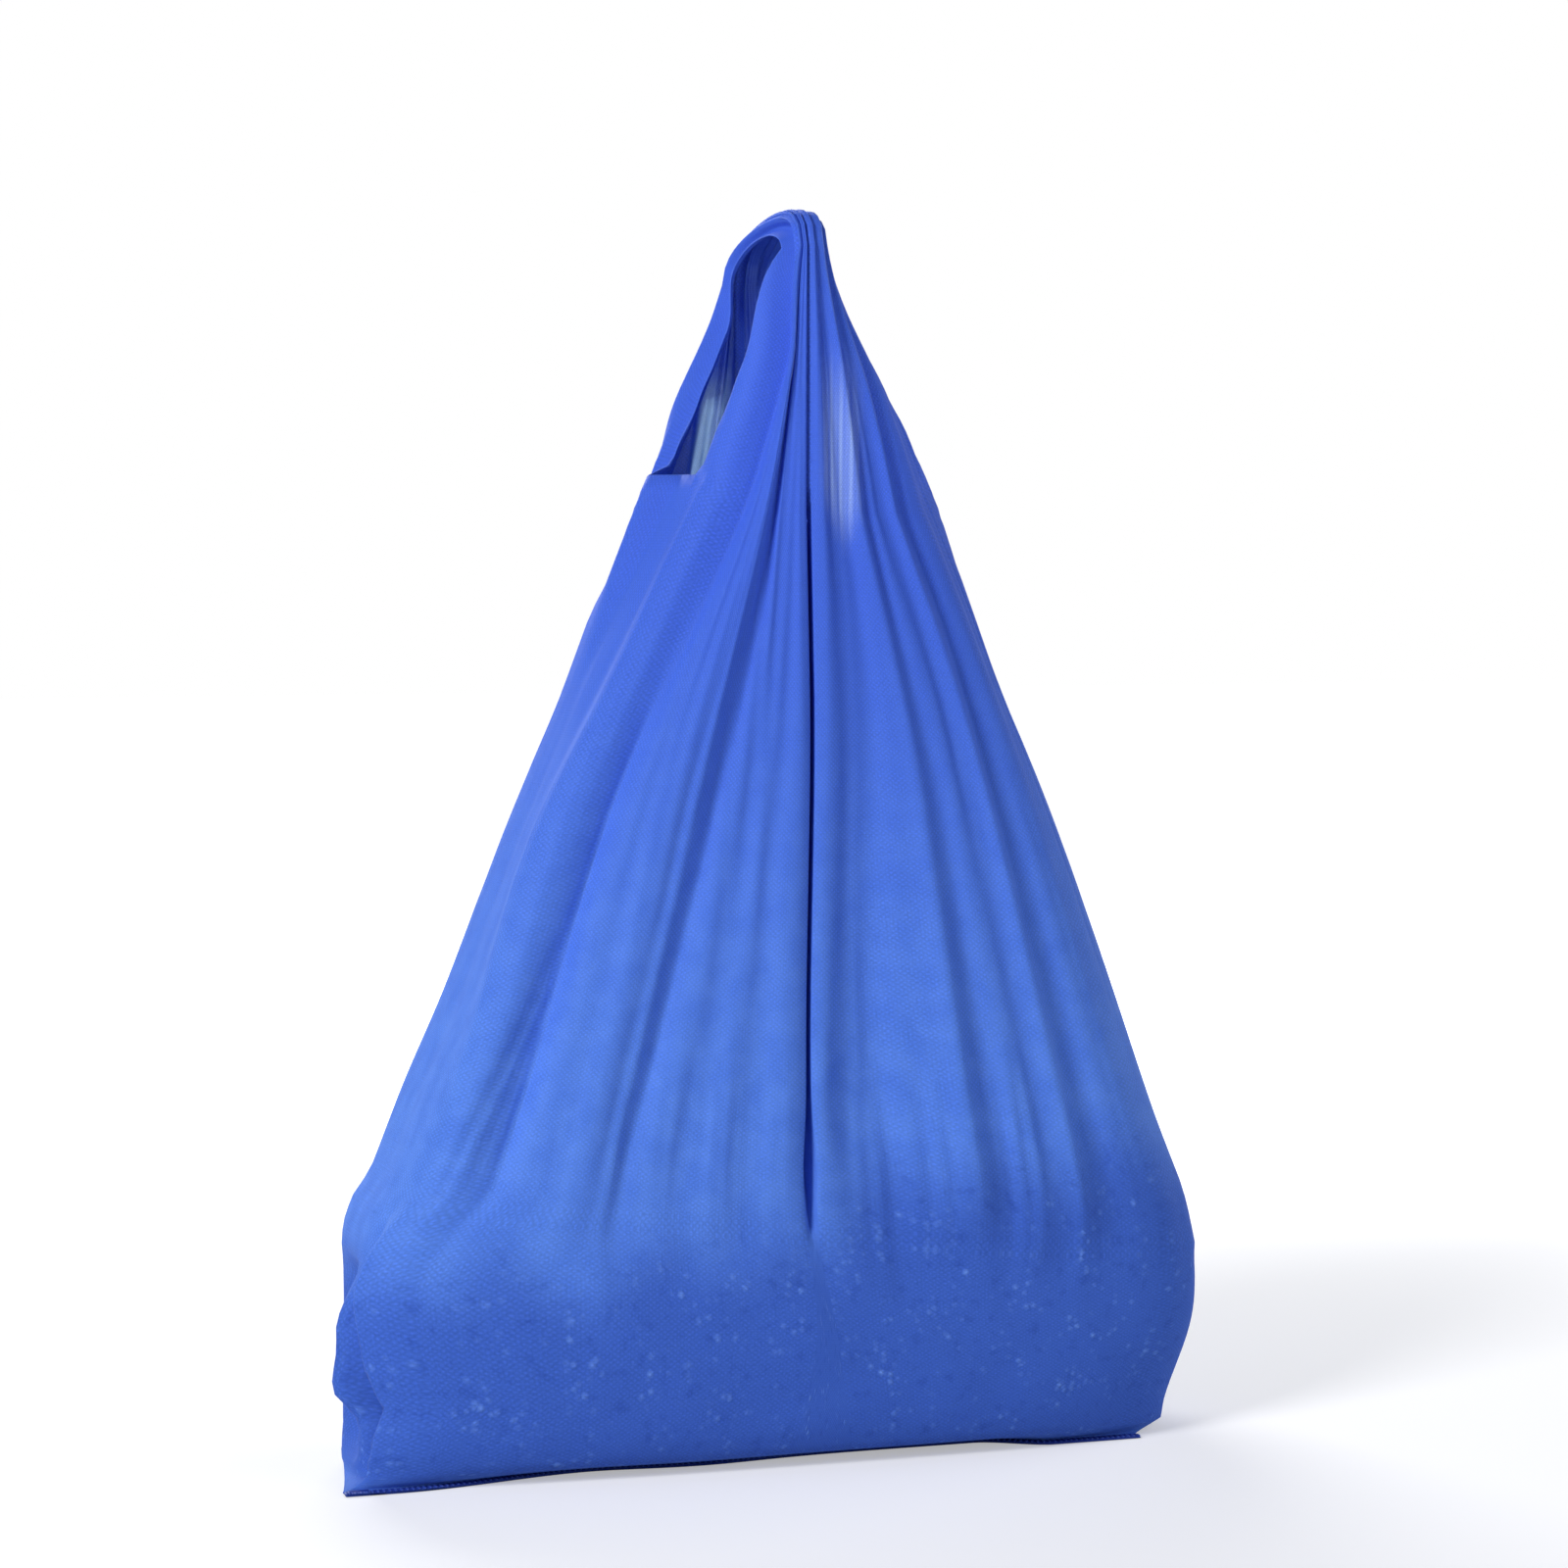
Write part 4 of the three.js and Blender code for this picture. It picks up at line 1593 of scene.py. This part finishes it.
    def add_patterns(self, mesh: Mesh, points: Array) -> None:
        """Gives the cloth its flat map, in metres, and the shares of its looks, which place its painted light
        and shade and its welded fin.

        Args:
            mesh: Mesh of the cloth.
            points: Its points, in millimetres.
        """
        along = np.concatenate(self.along)
        flat = np.stack([np.concatenate(self.across), along], axis=1) * MM
        corners = np.zeros(len(mesh.loops), dtype=np.int32)
        mesh.loops.foreach_get("vertex_index", corners)
        mesh.uv_layers.new(name="flat").data.foreach_set("uv", flat[corners].astype(np.float32).ravel())
        shares = {
            # Painted shade of the filled part
            "filled": self.patches.filled(points),
            # Painted backlight of the tongue
            "thin": self.patches.thin(points),
            # Painted shade towards the top
            "gather_painted_shade": smooth(points[:, 2], *self.patches.gathered_painted_shade),
            # Welded fin, with its painted shade
            "weld_and_painted_shade": along < self.patches.weld_top,
        }
        for name, share in shares.items():
            mesh.attributes.new(name, "FLOAT", "POINT").data.foreach_set("value", share.astype(np.float32))

    def declare(self, piece: Object) -> None:
        """Tells the frame what the cloth stands for.

        Args:
            piece: The cloth.
        """
        stand_for_bag(piece)


@dataclass(frozen=True)
class WeldFinish:
    """Welded polypropylene: fibres melted into a dense film, so it is deeper in colour and shines a little.

    Attributes:
        colour: Colour of the film.
        roughness: Its roughness.
    """

    colour: str = "2f49a6"
    roughness: float = 0.36

    def material(self) -> Material:
        """Builds the material of the welded teeth.

        Returns:
            The material.
        """
        made = bpy.data.materials.new("welded_polypropylene")
        nodes = Nodes.of(made)
        inputs = {"Base Color": linear(self.colour), "Roughness": self.roughness, "IOR": POLYPROPYLENE_IOR}
        shader = nodes.add("ShaderNodeBsdfPrincipled", inputs)
        nodes.add("ShaderNodeOutputMaterial", {"Surface": shader.outputs["BSDF"]})
        return made


@dataclass
class WeldTeeth:
    """The teeth that the welding bar presses into the bottom fin, set out by Geometry Nodes.

    Attributes:
        form: The form of the cloth.
        pitch: Distance between two teeth, in millimetres.
        size: Width, length and height of a tooth, in millimetres.
        end_stations: Stations at the ends of the fin that stay plain.
    """

    form: ClothForm
    pitch: float = 2.4
    size: Triple = (1.5, 5.2, 0.9)
    end_stations: int = 4

    def line(self) -> Array:
        """Points along the middle of the fin, from left to right, in metres.

        Returns:
            The points, one in each row.
        """
        form = self.form
        level = form.fin_levels(form.base_levels()[0])[1]
        stations = slice(self.end_stations, form.lip_station + 1)
        left, right = (form.points(form.quarters[index], level)[stations] for index in (0, 1))
        return np.concatenate([left, right[::-1]]) * MM

    def tree(self, material: Material) -> NodeTree:
        """Builds the node tree that sets a tooth at every step of a line, from a pitch and a size.

        Args:
            material: Material of the teeth.

        Returns:
            The node tree.
        """
        made = bpy.data.node_groups.new("weld_teeth", "GeometryNodeTree")
        sockets = (
            ("Geometry", "INPUT", "NodeSocketGeometry"),
            ("Pitch", "INPUT", "NodeSocketFloat"),
            ("Size", "INPUT", "NodeSocketVector"),
            ("Geometry", "OUTPUT", "NodeSocketGeometry"),
        )
        for name, way, kind in sockets:
            made.interface.new_socket(name, in_out=way, socket_type=kind)
        nodes = Nodes(made)
        line, pitch, size = list(nodes.add("NodeGroupInput").outputs)[:3]
        steps = nodes.add("GeometryNodeResampleCurve", {"Curve": line, "Length": pitch}, mode="LENGTH")
        tangent = nodes.add("GeometryNodeInputTangent").outputs["Tangent"]
        turn = nodes.add("FunctionNodeAlignRotationToVector", {"Vector": tangent}, axis="X")
        block = nodes.add("GeometryNodeMeshCube", {"Size": size})
        pillow = nodes.add("GeometryNodeSubdivisionSurface", {"Mesh": block.outputs["Mesh"], "Level": 1})
        inputs = {"Points": steps.outputs["Curve"], "Instance": pillow.outputs["Mesh"]}
        rows = nodes.add("GeometryNodeInstanceOnPoints", inputs | {"Rotation": turn.outputs["Rotation"]})
        real = nodes.add("GeometryNodeRealizeInstances", {"Geometry": rows.outputs["Instances"]})
        inputs = {"Geometry": real.outputs["Geometry"], "Material": material}
        finish = nodes.add("GeometryNodeSetMaterial", inputs)
        nodes.add("NodeGroupOutput", {"Geometry": finish.outputs["Geometry"]})
        return made

    def build(self, material: Material) -> Object:
        """Builds the teeth as one plain mesh.

        Args:
            material: Material of the teeth.

        Returns:
            The piece.
        """
        points = self.line()
        curve = bpy.data.curves.new("weld_line", "CURVE")
        curve.dimensions = "3D"
        spline = curve.splines.new("POLY")
        spline.points.add(len(points) - 1)
        weighted = np.column_stack([points, np.ones(len(points))])
        spline.points.foreach_set("co", weighted.astype(np.float32).ravel())
        line = add_object("weld_line", curve)
        rows = line.modifiers.new("teeth", "NODES")
        rows.node_group = self.tree(material)
        values = {"Pitch": self.pitch * MM, "Size": tuple(side * MM for side in self.size)}
        for item in rows.node_group.interface.items_tree:
            if item.in_out == "INPUT" and item.name in values:
                rows[item.identifier] = values[item.name]
        piece = finished(line, "weld_teeth")
        stand_for_bag(piece)
        return piece


@dataclass(frozen=True)
class Softbox:
    """A square lamp that faces the bag.

    Attributes:
        name: Its name.
        place: Where it stands, in metres.
        side: Length of its sides, in metres.
        power: Its power, in watts.
    """

    name: str
    place: Triple
    side: float
    power: float


@dataclass(frozen=True)
class Studio:
    """Pale floor, soft light and the camera. Distances are in metres and angles in degrees.

    Attributes:
        azimuth: Direction of the camera round the bag.
        elevation: Its height above the horizon.
        distance: Its distance from the aim.
        aim: The point in the middle of the picture.
        view_width: Width of what it sees at the aim.
        sensor_mm: Width of its sensor, in millimetres.
        lamps: The lamps.
        lamp_aim: The point that they face.
        floor_side: Length of the floor's sides.
        floor_drop: Depth of the floor under the bag.
        floor_glow: Brightness that the floor adds near the bag and far from it.
        glow_reach: Distances between which this changes.
        sky_strength: Strength of the light from all round.
    """

    azimuth: float = -18.0
    elevation: float = 3.5
    distance: float = 1.75
    aim: Triple = (0.004, 0.0, 0.281)
    view_width: float = 0.667
    sensor_mm: float = 36.0
    lamps: tuple[Softbox, ...] = (
        Softbox("key_softbox", (-1.95, -1.3, 1.3), 0.8, 56.0),
        Softbox("front_softbox", (1.3, -2.0, 0.55), 1.1, 13.5),
        Softbox("right_softbox", (2.0, 0.4, 1.1), 1.2, 10.0),
        Softbox("back_softbox", (0.0, 1.8, 1.3), 1.2, 32.0),
    )
    lamp_aim: Triple = (0.0, 0.0, 0.25)
    floor_side: float = 16.0
    floor_drop: float = 0.0002
    floor_glow: Pair = (0.4, 1.0)
    glow_reach: Pair = (0.4, 1.3)
    sky_strength: float = 0.12

    def build(self) -> None:
        """Builds the floor, the light and the camera."""
        self.add_floor()
        self.add_world()
        for softbox in self.lamps:
            self.add_lamp(softbox)
        self.add_camera()

    def add_floor(self) -> None:
        """Adds the pale floor just under the bag."""
        half = self.floor_side / 2
        corners = ((-half, -half), (half, -half), (half, half), (-half, half))
        mesh = bpy.data.meshes.new("floor")
        mesh.from_pydata([(x, y, -self.floor_drop) for x, y in corners], [], [(0, 1, 2, 3)])
        paper = bpy.data.materials.new("white_backdrop_paper")
        nodes = Nodes.of(paper)
        matt = nodes.add("ShaderNodeBsdfDiffuse", {"Color": linear("d8d8d8")})
        where = nodes.add("ShaderNodeTexCoord").outputs["Object"]
        apart = nodes.add("ShaderNodeVectorMath", {0: where}, operation="LENGTH").outputs["Value"]
        inputs = dict(zip(SPAN_INPUTS, (apart, *self.glow_reach, *self.floor_glow)))
        level = nodes.add("ShaderNodeMapRange", inputs, interpolation_type="SMOOTHSTEP").outputs["Result"]
        seen = nodes.add("ShaderNodeLightPath").outputs["Is Camera Ray"]
        shown = nodes.add("ShaderNodeMath", {0: seen, 1: level}, operation="MULTIPLY").outputs[0]
        glow = nodes.add("ShaderNodeEmission", {"Strength": shown})
        both = nodes.add("ShaderNodeAddShader", {0: matt.outputs[0], 1: glow.outputs[0]})
        nodes.add("ShaderNodeOutputMaterial", {"Surface": both.outputs[0]})
        mesh.materials.append(paper)
        add_object("floor", mesh)

    def add_world(self) -> None:
        """Lights the scene softly from all round, and shows white behind it."""
        world = bpy.data.worlds.new("studio")
        nodes = Nodes.of(world)
        rays = nodes.add("ShaderNodeLightPath").outputs
        seen = rays["Is Camera Ray"]
        for ray in ("Is Glossy Ray", "Is Transmission Ray"):
            seen = nodes.add("ShaderNodeMath", {0: seen, 1: rays[ray]}, operation="MAXIMUM").outputs[0]
        skies = (("c8d4ff", self.sky_strength), ("ffffff", 1.0))
        soft, white = (
            nodes.add("ShaderNodeBackground", {"Color": linear(colour), "Strength": strength}).outputs[0]
            for colour, strength in skies
        )
        both = nodes.add("ShaderNodeMixShader", {0: seen, 1: soft, 2: white})
        nodes.add("ShaderNodeOutputWorld", {"Surface": both.outputs[0]})
        bpy.context.scene.world = world

    def add_lamp(self, softbox: Softbox) -> None:
        """Adds a lamp.

        Args:
            softbox: Its place, size and power.
        """
        data = bpy.data.lights.new(softbox.name, "AREA")
        data.size = softbox.side
        data.energy = softbox.power
        lamp = add_object(softbox.name, data)
        lamp.location = softbox.place
        towards = Vector(self.lamp_aim) - Vector(softbox.place)
        lamp.rotation_euler = towards.to_track_quat("-Z", "Y").to_euler()

    def add_camera(self) -> None:
        """Adds the camera."""
        data = bpy.data.cameras.new("camera")
        data.sensor_width = self.sensor_mm
        data.lens = self.sensor_mm * self.distance / self.view_width
        camera = add_object("camera", data)
        turn, rise = math.radians(self.azimuth), math.radians(self.elevation)
        back = Vector((math.sin(turn) * math.cos(rise), -math.cos(turn) * math.cos(rise), math.sin(rise)))
        camera.location = Vector(self.aim) + back * self.distance
        camera.rotation_euler = (-back).to_track_quat("-Z", "Y").to_euler()
        bpy.context.scene.camera = camera


def main() -> None:
    """Builds the bag and the studio."""
    logging.basicConfig(level=logging.INFO, format="%(name)s: %(message)s")
    bpy.context.scene.view_settings.view_transform = "Standard"
    cloth = CarrierCloth(ClothForm())
    piece = cloth.build(SpunbondFinish().material())
    teeth = WeldTeeth(cloth.form).build(WeldFinish().material())
    cloth.declare(piece)
    for made in (piece, teeth):
        LOG.info("%s: %d faces", made.name, len(made.data.polygons))
    Studio().build()


if __name__ == "__main__":
    main()
